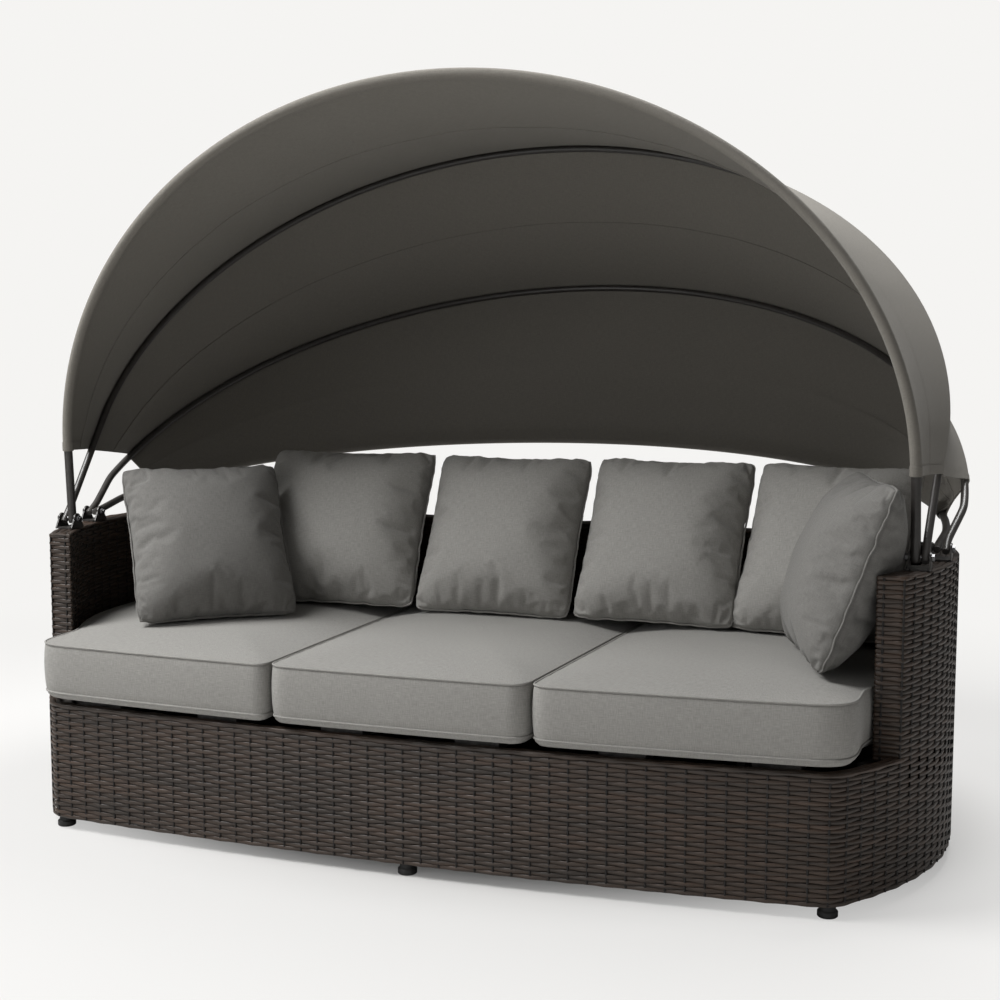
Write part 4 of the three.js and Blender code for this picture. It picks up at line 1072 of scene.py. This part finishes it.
def filled(piece, held):
    """Lets a cover grow over its filling while its seams are held, and keeps every move short."""
    scene = bpy.context.scene
    settings = scene.daybed_cushions
    mesh = piece.data
    start = mesh_points(mesh)
    seam = piece.vertex_groups.new(name="seam")
    seam.add([int(number) for number in held], 1.0, "REPLACE")
    cloth = piece.modifiers.new("cover", "CLOTH")
    cover = cloth.settings
    for key, value in COVER.items():
        setattr(cover, key, value)
    cover.vertex_group_mass = seam.name
    cover.uniform_pressure_force = settings.filling_pressure
    cover.shrink_min = -settings.cover_slack
    cover.effector_weights.gravity = 0
    cloth.collision_settings.use_collision = False
    for number in range(1, CLOTH_FRAMES + 1):
        scene.frame_set(number)
    settled = piece.evaluated_get(bpy.context.evaluated_depsgraph_get())
    move = mesh_points(settled.data) - start
    piece.modifiers.remove(cloth)
    piece.vertex_groups.remove(seam)
    scene.frame_set(1)
    reach = np.linalg.norm(move, axis=1, keepdims=True)
    move *= np.minimum(1, MOST_MOVE / np.maximum(reach, 1e-9))
    set_points(mesh, start + move)


def welded(piece):
    """Joins the points that the two faces of a cover share."""
    shape = bmesh.new()
    shape.from_mesh(piece.data)
    bmesh.ops.remove_doubles(shape, verts=shape.verts, dist=0.02 * MM)
    shape.to_mesh(piece.data)
    shape.free()


def kept_clear(points, floor_z):
    """Keeps a loose pillow over the seat and inside the woven wall."""
    points[:, 2] = np.maximum(points[:, 2], floor_z)
    loop = BODY_LOOP[::4]
    inward = -outward_normals(loop)
    low = np.where(points[:, 2] < ARM_TOP + 4 * MM)[0]
    nearest = np.linalg.norm(points[low, None, :2] - loop[None], axis=2).argmin(1)
    depth = ((points[low, :2] - loop[nearest]) * inward[nearest]).sum(1)
    short = np.maximum(WALL + WALL_CLEARANCE - depth, 0)
    points[low, :2] += inward[nearest] * short[:, None]
    return points


def make_pillow(name, seed):
    """A loose pillow with a knife edge, piping all round and folds that its filling presses out."""
    size, x, y, turn, lean = PILLOW_PLACES[name]
    turn, lean = math.radians(turn), math.radians(-lean)
    tip = np.array([[1, 0, 0], [0, math.cos(lean), -math.sin(lean)], [0, math.sin(lean), math.cos(lean)]])
    spin = np.array([[math.cos(turn), -math.sin(turn), 0], [math.sin(turn), math.cos(turn), 0], [0, 0, 1]])
    place = np.array([x * MM, PIN_Y + y * MM, 0])
    front, back = (face @ (spin @ tip).T + place for face in pillow_surface(size, seed))
    floor_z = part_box(name)[0].z + 0.5 * MM
    lift = np.array([0, 0, floor_z - min(front[..., 2].min(), back[..., 2].min())])
    front, back = front + lift, back + lift
    cover = MeshParts()
    cover.add_grid(front)
    cover.add_grid(back[::-1])
    # Arm pillows take a darker copy of the cushion cloth, which is painted shade.
    cloth = material("arm pillow cloth" if name.startswith("arm") else "cushion cloth")
    piece = cover.build(name + "_cover", [cloth])
    welded(piece)
    edge = pillow_edge(front)
    points = mesh_points(piece.data)
    held = [np.linalg.norm(points - corner, axis=1).argmin() for corner in edge]
    filled(piece, held)
    points = kept_clear(mesh_points(piece.data), floor_z)
    set_points(piece.data, points)
    finer = piece.modifiers.new("finer", "SUBSURF")
    finer.levels = finer.render_levels = 1
    apply_modifiers(piece)
    piping = MeshParts()
    add_piping(piping, resampled(points[held], PIPING_POINTS, closed=True),
               bpy.context.scene.daybed_cushions.piping_radius)
    join(piece, piping.build(name + "_piping", [cloth]))
    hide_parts(name)


def apply_modifiers(piece):
    """Keeps a piece's mesh as its modifiers show it."""
    shown = piece.evaluated_get(bpy.context.evaluated_depsgraph_get())
    made = bpy.data.meshes.new_from_object(shown)
    piece.modifiers.clear()
    old, piece.data = piece.data, made
    bpy.data.meshes.remove(old)
    made.name = piece.name


def join(piece, trim):
    """Adds the trim's mesh to the piece's own."""
    shape = bmesh.new()
    shape.from_mesh(piece.data)
    shape.from_mesh(trim.data)
    shape.to_mesh(piece.data)
    shape.free()
    bpy.data.objects.remove(trim)


# Feet


# A foot's radius and height, from the floor up
FOOT_PROFILE = np.array([(15, 0), (17.2, 0.5), (19, 2.2), (19, 10.6), (18.2, 12), (15.6, 13.4),
                         (15, 14.4), (15, 22)]) * MM
FOOT_SIDES = 32


def make_feet():
    """Turned rubber feet with a chamfered pad and a collar."""
    names = ["front_foot_middle", "rear_foot_middle"]
    names += [f"{end}_foot_{side}" for end in ("front", "rear") for side in SIDES]
    for name in names:
        low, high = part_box(name)
        centre = np.array((low + high) / 2)[:2]
        parts = MeshParts()
        rings = [at_height(centre + radius * circle(FOOT_SIDES), z) for radius, z in FOOT_PROFILE]
        parts.add_rod(np.stack(rings))
        piece = parts.build(name + "_rubber", [material("moulded rubber")])
        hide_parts(name)


# Materials


# Most of a noise's values lie in this span
NOISE_SPAN = (0.3, 0.7)
WHOLE = (0.0, 1.0)


class Shading:
    """Short words for adding and linking nodes in one tree."""

    def __init__(self, tree):
        self.tree = tree

    def set(self, made, key, value):
        """Links or sets an input, given by its number or by its name with _ for a space."""
        socket = made.inputs[key if isinstance(key, int) else key.replace("_", " ")]
        if isinstance(value, bpy.types.NodeSocket):
            self.tree.links.new(value, socket)
        else:
            socket.default_value = value

    def node(self, kind, *values, operation=None, **inputs):
        """A new shader node, with its inputs given in order or by name."""
        made = self.tree.nodes.new("ShaderNode" + kind)
        if operation:
            made.operation = operation
        for key, value in (*enumerate(values), *inputs.items()):
            self.set(made, key, value)
        return made

    def group(self, name, **values):
        """Puts in a group of nodes, which is made on first use, and gives what leaves it."""
        made = self.node("Group")
        made.node_tree = bpy.data.node_groups.get(name) or make_group(name)
        for key, value in values.items():
            self.set(made, key, value)
        return made.outputs

    def surface(self, **inputs):
        """Sets inputs of the Principled shader."""
        shader = self.tree.nodes["Principled BSDF"]
        for key, value in inputs.items():
            self.set(shader, key, value)
        return shader.outputs[0]

    def bump(self, height, strength, distance):
        made = self.node("Bump", Height=height, Strength=strength, Distance=distance)
        self.surface(Normal=made.outputs["Normal"])

    def place(self, kind="Object"):
        return self.node("TexCoord").outputs[kind]

    def math(self, operation, *values):
        return self.node("Math", *values, operation=operation).outputs[0]

    def times(self, vector, scale):
        return self.node("VectorMath", vector, scale, operation="MULTIPLY").outputs[0]

    def noise(self, vector, scale, detail=2.0, roughness=0.5):
        made = self.node("TexNoise", Vector=vector, Scale=scale, Detail=detail, Roughness=roughness)
        return made.outputs["Fac"]

    def remap(self, value, span, target):
        return self.node("MapRange", value, *span, *target).outputs[0]

    def tinted(self, colour_value, tone):
        """A colour times a tone that changes over the surface."""
        return self.node("VectorMath", tuple(colour_value), operation="SCALE", Scale=tone).outputs[0]

    def mixed(self, amount, low, high):
        """A blend of two colours."""
        made = self.node("Mix")
        made.data_type = "RGBA"
        for key, value in ((0, amount), (6, low), (7, high)):
            self.set(made, key, opaque(value) if isinstance(value, tuple) else value)
        return made.outputs[2]

    def glow(self, colour_value):
        return self.node("Emission", Color=opaque(colour_value), Strength=1.0).outputs[0]

    def blend(self, amount, low, high):
        """A blend of two shaders."""
        return self.node("MixShader", amount, low, high).outputs[0]


def opaque(colour_value):
    return (*colour_value, 1.0)


def thread_nodes(shading, given):
    """Crossed threads with slubs, drawn in the metres of the UV places."""
    place = shading.place("UV")
    apart = shading.node("SeparateXYZ", Vector=place).outputs
    waves = []
    for axis in ("X", "Y"):
        turns = shading.math("MULTIPLY", apart[axis], given["Threads per metre"])
        wave = shading.math("SINE", shading.math("MULTIPLY", turns, math.pi))
        waves.append(shading.math("ABSOLUTE", wave))
    weave = shading.math("MULTIPLY", *waves)
    warp, weft = (shading.noise(shading.times(place, scale), 1.0, 2.0, 0.6)
                  for scale in ((70, 900, 1), (900, 70, 1)))
    slub = shading.math("MULTIPLY", shading.math("ADD", warp, weft), 0.5)
    slub = shading.remap(slub, (0.38, 0.62), (-0.5, 0.5))
    tone = shading.math("ADD", shading.math("MULTIPLY", slub, given["Slub"]), 1.0)
    return {"Tone": tone, "Height": shading.math("ADD", shading.math("MULTIPLY", weave, 0.5), slub)}


def patch_nodes(shading, given):
    """Broad uneven patches, such as sun, handling or a dye lot leave."""
    noise = shading.noise(shading.place(), given["Patch scale"], 3.0, 0.55)
    offset = shading.math("SUBTRACT", noise, 0.5)
    amount = shading.math("MULTIPLY", given["Amount"], 2.0)
    return {"Tone": shading.math("MULTIPLY_ADD", offset, amount, 1.0)}


def edge_nodes(shading, given):
    """Where an edge or a corner stands out and is rubbed bright."""
    sharp = shading.node("NewGeometry").outputs["Pointiness"]
    edge = shading.remap(sharp, (0.51, 0.60), WHOLE)
    noise = shading.noise(shading.place(), given["Breakup"], 3.0, 0.6)
    patchy = shading.remap(noise, (0.42, 0.62), WHOLE)
    mask = shading.math("MULTIPLY", edge, patchy)
    return {"Mask": shading.math("MULTIPLY", mask, given["Reach"])}


def dust_nodes(shading, given):
    """Fine dust that settles on faces turned up and gathers in patches."""
    normal = shading.node("NewGeometry").outputs["Normal"]
    up = shading.node("SeparateXYZ", Vector=normal).outputs["Z"]
    patchy = shading.remap(shading.noise(shading.place(), 23.0, 4.0, 0.6), (0.35, 0.7), WHOLE)
    mask = shading.math("MULTIPLY", shading.remap(up, (0.2, 1.0), WHOLE), patchy)
    return {"Mask": shading.math("MULTIPLY", mask, given["Amount"])}


# The groups of nodes, with their inputs
GROUPS = {
    "Crossed threads": (thread_nodes, {"Threads per metre": 500.0, "Slub": 0.5}),
    "Broad patches": (patch_nodes, {"Patch scale": 4.0, "Amount": 0.1}),
    "Rubbed edges": (edge_nodes, {"Reach": 0.1, "Breakup": 40.0}),
    "Settled dust": (dust_nodes, {"Amount": 0.2}),
}


def make_group(name):
    fill, inputs = GROUPS[name]
    tree = bpy.data.node_groups.new(name, "ShaderNodeTree")
    for label, default in inputs.items():
        socket = tree.interface.new_socket(label, in_out="INPUT", socket_type="NodeSocketFloat")
        socket.default_value = default
    shading = Shading(tree)
    results = fill(shading, tree.nodes.new("NodeGroupInput").outputs)
    for label in results:
        tree.interface.new_socket(label, in_out="OUTPUT", socket_type="NodeSocketFloat")
    leave = tree.nodes.new("NodeGroupOutput")
    for label, socket in results.items():
        shading.set(leave, label, socket)
    return tree


def strand_nodes(shading):
    rows = shading.noise(shading.times(shading.place(), (5, 5, 97)), 1.0, 2.0, 0.6)
    fibres = shading.noise(shading.times(shading.place("UV"), (30, 1600, 1)), 1.0, 3.0, 0.6)
    patches = shading.group("Broad patches", Patch_scale=3.1, Amount=0.22)
    tone = shading.math("MULTIPLY", shading.remap(rows, NOISE_SPAN, (0.62, 1.42)), patches["Tone"])
    tone = shading.math("MULTIPLY", tone, shading.remap(fibres, NOISE_SPAN, (0.86, 1.16)))
    base = shading.tinted(bpy.context.scene.daybed_weave.strand_colour, tone)
    warmth = shading.remap(rows, (0.35, 0.65), (0.0, 0.5))
    warm = shading.mixed(warmth, (1.0, 1.0, 1.0), (1.22, 0.98, 0.84))
    dust = shading.group("Settled dust", Amount=0.12)
    coloured = shading.mixed(dust["Mask"], shading.times(base, warm), (0.16, 0.145, 0.13))
    shading.surface(Base_Color=coloured, Roughness=shading.remap(fibres, NOISE_SPAN, (0.36, 0.52)),
                    Specular_IOR_Level=0.5)
    shading.bump(fibres, 0.35, 0.4 * MM)


# Near-black painted shade for the gaps in the weave: the backing skin, the stakes and the hidden CAD weave.
def weave_shade_nodes(shading):
    patches = shading.group("Broad patches", Patch_scale=9.0, Amount=0.3)
    base = shading.tinted(bpy.context.scene.daybed_weave.weave_shade_colour, patches["Tone"])
    shading.surface(Base_Color=base, Roughness=0.7)


def paint_nodes(shading):
    grain = shading.noise(shading.place(), 900.0)
    patches = shading.group("Broad patches", Patch_scale=6.0, Amount=0.12)
    dust = shading.group("Settled dust", Amount=0.15)
    edges = shading.group("Rubbed edges", Reach=0.5, Breakup=70.0)
    base = shading.tinted(bpy.context.scene.daybed_frame.paint_colour, patches["Tone"])
    dusty = shading.mixed(dust["Mask"], base, (0.20, 0.19, 0.17))
    worn = shading.mixed(edges["Mask"], dusty, (0.10, 0.095, 0.09))
    shading.surface(Base_Color=worn, Roughness=shading.remap(grain, NOISE_SPAN, (0.30, 0.44)),
                    Specular_IOR_Level=0.6)
    shading.bump(grain, 0.18, 0.15 * MM)


def zinc_nodes(shading):
    bloom = shading.noise(shading.place(), 260.0, 4.0, 0.6)
    tone = shading.remap(bloom, NOISE_SPAN, (0.8, 1.12))
    shading.surface(Base_Color=shading.tinted(bpy.context.scene.daybed_frame.zinc_colour, tone),
                    Roughness=shading.remap(bloom, NOISE_SPAN, (0.26, 0.42)), Metallic=1.0)
    shading.bump(bloom, 0.1, 0.1 * MM)


def rubber_nodes(shading):
    grain = shading.noise(shading.place(), 700.0, 3.0, 0.6)
    dust = shading.group("Settled dust", Amount=0.4)
    tone = shading.remap(grain, NOISE_SPAN, (0.8, 1.25))
    base = shading.tinted(bpy.context.scene.daybed_frame.rubber_colour, tone)
    shading.surface(Base_Color=shading.mixed(dust["Mask"], base, (0.12, 0.115, 0.11)),
                    Roughness=shading.remap(grain, NOISE_SPAN, (0.55, 0.75)))
    shading.bump(grain, 0.25, 0.2 * MM)


def cloth_nodes(shading, colour_value, threads, slub, patch_scale, patch_amount, sheen, depth):
    """Woven cloth: crossed threads, slubs, broad patches and a little sheen."""
    thread = shading.group("Crossed threads", Threads_per_metre=threads, Slub=slub)
    patches = shading.group("Broad patches", Patch_scale=patch_scale, Amount=patch_amount)
    tone = shading.math("MULTIPLY", thread["Tone"], patches["Tone"])
    shading.surface(Base_Color=shading.tinted(colour_value, tone),
                    Roughness=shading.remap(thread["Height"], (-0.5, 1.0), (0.95, 0.82)),
                    Specular_IOR_Level=0.25, Sheen_Weight=sheen, Sheen_Roughness=0.5)
    shading.bump(thread["Height"], 0.5, depth)


CANOPY_CLOTH = {"threads": 620.0, "slub": 0.20, "patch_scale": 2.2, "patch_amount": 0.05,
                "sheen": 0.08, "depth": 0.25 * MM}
CUSHION_CLOTH = {"threads": 540.0, "slub": 0.30, "patch_scale": 5.0, "patch_amount": 0.04,
                 "sheen": 0.12, "depth": 0.35 * MM}


def canopy_nodes(shading):
    cloth_nodes(shading, bpy.context.scene.daybed_canopy.cloth_colour, **CANOPY_CLOTH)


def cushion_nodes(shading):
    cloth_nodes(shading, bpy.context.scene.daybed_cushions.cloth_colour, **CUSHION_CLOTH)


# The cushion cloth with a darker colour, which is painted shade on the arm pillows.
def shaded_arm_pillow_nodes(shading):
    cloth_nodes(shading, bpy.context.scene.daybed_cushions.arm_painted_shade_colour, **CUSHION_CLOTH)


# Where the floor turns into the backdrop, and where its glow sets in beside the body: the shape
# in which the distance from the middle is measured, and the distances between which the mask rises
FAR_SHAPE, FAR_SPAN = (1.0, 1.15, 0.0), (1.3, 3.2)
GLOW_SHAPE, GLOW_SPAN = (0.82, 1.05, 0.0), (0.56, 0.98)


def floor_mask(shading, shape, span, most=1.0):
    """Rises smoothly from 0 to most with the distance from the middle, for the camera only."""
    place = shading.times(shading.place(), shape)
    distance = shading.node("VectorMath", place, operation="LENGTH").outputs["Value"]
    rise = shading.node("MapRange", distance, *span, 0.0, most)
    rise.interpolation_type = "SMOOTHSTEP"
    seen = shading.node("LightPath").outputs["Is Camera Ray"]
    return shading.math("MULTIPLY", rise.outputs[0], seen)


def floor_nodes(shading):
    """A lit floor that glows a little beside the body and turns into the backdrop further off."""
    settings = bpy.context.scene.daybed_stage
    lit = shading.surface(Base_Color=opaque(settings.floor_colour), Roughness=0.9,
                          Specular_IOR_Level=0.1)
    glow_mask = floor_mask(shading, GLOW_SHAPE, GLOW_SPAN, settings.floor_glow)
    near = shading.blend(glow_mask, lit, shading.glow(settings.floor_glow_colour))
    far_mask = floor_mask(shading, FAR_SHAPE, FAR_SPAN)
    shown = shading.blend(far_mask, near, shading.glow(settings.backdrop_colour))
    shading.set(shading.tree.nodes["Material Output"], "Surface", shown)


MATERIALS = {
    "woven resin strands": strand_nodes,
    "woven resin core": weave_shade_nodes,
    "powder coated steel": paint_nodes,
    "zinc plated steel": zinc_nodes,
    "moulded rubber": rubber_nodes,
    "canopy cloth": canopy_nodes,
    "cushion cloth": cushion_nodes,
    "arm pillow cloth": shaded_arm_pillow_nodes,
    "pale floor": floor_nodes,
}

SLOT_MATERIALS = {
    "painted_steel": "powder coated steel",
    "zinc_steel": "zinc plated steel",
    "black_rubber": "moulded rubber",
    "woven_resin": "woven resin core",
    "canopy_cloth": "canopy cloth",
    "cushion_cloth": "cushion cloth",
}


def material(name):
    """The material of this name, which is made on first use."""
    made = bpy.data.materials.get(name)
    if made is None:
        made = bpy.data.materials.new(name)
        made.use_nodes = True
        MATERIALS[name](Shading(made.node_tree))
    return made


# Frame finishes and stage


FLOOR_HALF = 60.0
SKY_COLOUR = (1.0, 0.99, 0.975, 1.0)
SENSOR_WIDTH = 36.0

# Each lamp's name, place, aim and size
LAMPS = (
    ("key", (-2.3, -1.5, 3.9), (0.2, -0.3, 0.4), 2.4),
    ("fill", (-1.9, -5.2, 1.5), (0.0, -0.3, 0.7), 3.0),
    ("top", (0.7, 1.0, 4.2), (0.1, 0.0, 1.0), 2.0),
)


def finish_frame():
    """Gives each CAD node that stays in view its paint, zinc or rubber."""
    for part in frame["record"]["subparts"]:
        node = frame["nodes"][part["node"]]
        node.data.materials.clear()
        node.data.materials.append(material(SLOT_MATERIALS[part["material_slot"]]))


def make_floor():
    corners = [(x * FLOOR_HALF, y * FLOOR_HALF, 0) for x, y in ((-1, -1), (1, -1), (1, 1), (-1, 1))]
    mesh = bpy.data.meshes.new("floor")
    mesh.from_pydata(corners, [], [(0, 1, 2, 3)])
    mesh.materials.append(material("pale floor"))
    floor = new_object("floor", mesh)


def make_lamps():
    settings = bpy.context.scene.daybed_stage
    for name, place, aim, size in LAMPS:
        data = bpy.data.lights.new(name, "AREA")
        data.shape = "DISK"
        data.size = size
        data.energy = getattr(settings, name + "_power")
        lamp = new_object(name, data)
        lamp.location = place
        lamp.rotation_mode = "QUATERNION"
        lamp.rotation_quaternion = (Vector(aim) - Vector(place)).to_track_quat("-Z", "Y")


def make_sky():
    """An even light all round, behind which the camera sees the backdrop's colour."""
    settings = bpy.context.scene.daybed_stage
    world = bpy.data.worlds.new("soft sky")
    bpy.context.scene.world = world
    world.use_nodes = True
    shading = Shading(world.node_tree)
    light = world.node_tree.nodes["Background"]
    shading.set(light, "Color", SKY_COLOUR)
    shading.set(light, "Strength", settings.sky_strength)
    shown = shading.node("Background", Color=opaque(settings.backdrop_colour), Strength=1.0)
    path = shading.node("LightPath").outputs
    seen = shading.math("MAXIMUM", path["Is Camera Ray"], path["Is Transmission Ray"])
    blend = shading.blend(seen, light.outputs[0], shown.outputs[0])
    shading.set(world.node_tree.nodes["World Output"], "Surface", blend)


def make_camera():
    settings = bpy.context.scene.daybed_stage
    data = bpy.data.cameras.new("camera")
    data.lens = settings.lens
    data.sensor_width = SENSOR_WIDTH
    camera = new_object("camera", data)
    camera.location = settings.camera_place
    camera.rotation_euler = (math.pi / 2 - settings.camera_dip, 0, settings.camera_turn)
    bpy.context.scene.camera = camera


# Operators


class DAYBED_OT_stage(bpy.types.Operator):
    """Make the floor, the lamps, the sky and the camera"""
    bl_idname = "daybed.stage"
    bl_label = "Stage"

    def execute(self, context):
        context.scene.view_settings.view_transform = "Standard"
        make_camera()
        make_floor()
        make_sky()
        make_lamps()
        return {"FINISHED"}


class DAYBED_OT_frame(bpy.types.Operator):
    """Finish the steel, bolts and rubber of the frame"""
    bl_idname = "daybed.frame"
    bl_label = "Frame finishes"

    def execute(self, context):
        finish_frame()
        make_feet()
        return {"FINISHED"}


class DAYBED_OT_weave(bpy.types.Operator):
    """Weave the resin strands of the body"""
    bl_idname = "daybed.weave"
    bl_label = "Woven body"

    def execute(self, context):
        make_skirt()
        make_walls()
        return {"FINISHED"}


class DAYBED_OT_bows(bpy.types.Operator):
    """Bend the canopy's bows"""
    bl_idname = "daybed.bows"
    bl_label = "Bows"

    def execute(self, context):
        make_bows()
        return {"FINISHED"}


class DAYBED_OT_canopy(bpy.types.Operator):
    """Sew the canopy's panels over the bows"""
    bl_idname = "daybed.canopy"
    bl_label = "Canopy"

    def execute(self, context):
        make_canopy()
        return {"FINISHED"}


class DAYBED_OT_seats(bpy.types.Operator):
    """Make the seat cushions"""
    bl_idname = "daybed.seats"
    bl_label = "Seat cushions"

    def execute(self, context):
        for number in range(3):
            make_seat_cushion(number)
        return {"FINISHED"}


class DAYBED_OT_pillows(bpy.types.Operator):
    """Make the loose back and arm pillows"""
    bl_idname = "daybed.pillows"
    bl_label = "Loose pillows"

    def execute(self, context):
        for seed, name in enumerate(PILLOW_PLACES):
            make_pillow(name, 100 * (seed + 1))
        return {"FINISHED"}


class DAYBED_PT_panel(bpy.types.Panel):
    """Lists the daybed's pieces and their settings"""
    bl_label = "Canopy Daybed"
    bl_idname = "DAYBED_PT_panel"
    bl_space_type = "VIEW_3D"
    bl_region_type = "UI"
    bl_category = "Daybed"

    def draw(self, context):
        for name, operators in PANEL_ROWS:
            box = self.layout.box()
            settings = getattr(context.scene, name)
            for key in settings.bl_rna.properties.keys():
                if key not in ("rna_type", "name"):
                    box.prop(settings, key)
            for operator in operators:
                box.operator(operator.bl_idname)


PANEL_ROWS = (
    ("daybed_stage", (DAYBED_OT_stage,)),
    ("daybed_frame", (DAYBED_OT_frame, DAYBED_OT_bows)),
    ("daybed_weave", (DAYBED_OT_weave,)),
    ("daybed_canopy", (DAYBED_OT_canopy,)),
    ("daybed_cushions", (DAYBED_OT_seats, DAYBED_OT_pillows)),
)

SETTINGS = {
    "daybed_weave": WeaveSettings,
    "daybed_canopy": CanopySettings,
    "daybed_cushions": CushionSettings,
    "daybed_frame": FrameSettings,
    "daybed_stage": StageSettings,
}

CLASSES = (*SETTINGS.values(), DAYBED_OT_stage, DAYBED_OT_frame, DAYBED_OT_weave, DAYBED_OT_bows,
           DAYBED_OT_canopy, DAYBED_OT_seats, DAYBED_OT_pillows, DAYBED_PT_panel)


def register():
    for one in CLASSES:
        bpy.utils.register_class(one)
    for name, settings in SETTINGS.items():
        setattr(bpy.types.Scene, name, PointerProperty(type=settings))


def unregister():
    for name in SETTINGS:
        delattr(bpy.types.Scene, name)
    for one in reversed(CLASSES):
        bpy.utils.unregister_class(one)


def main():
    register()
    bpy.ops.daybed.stage()
    bpy.ops.daybed.frame()
    bpy.ops.daybed.weave()
    bpy.ops.daybed.bows()
    bpy.ops.daybed.canopy()
    bpy.ops.daybed.seats()
    bpy.ops.daybed.pillows()


if __name__ == "__main__":
    main()
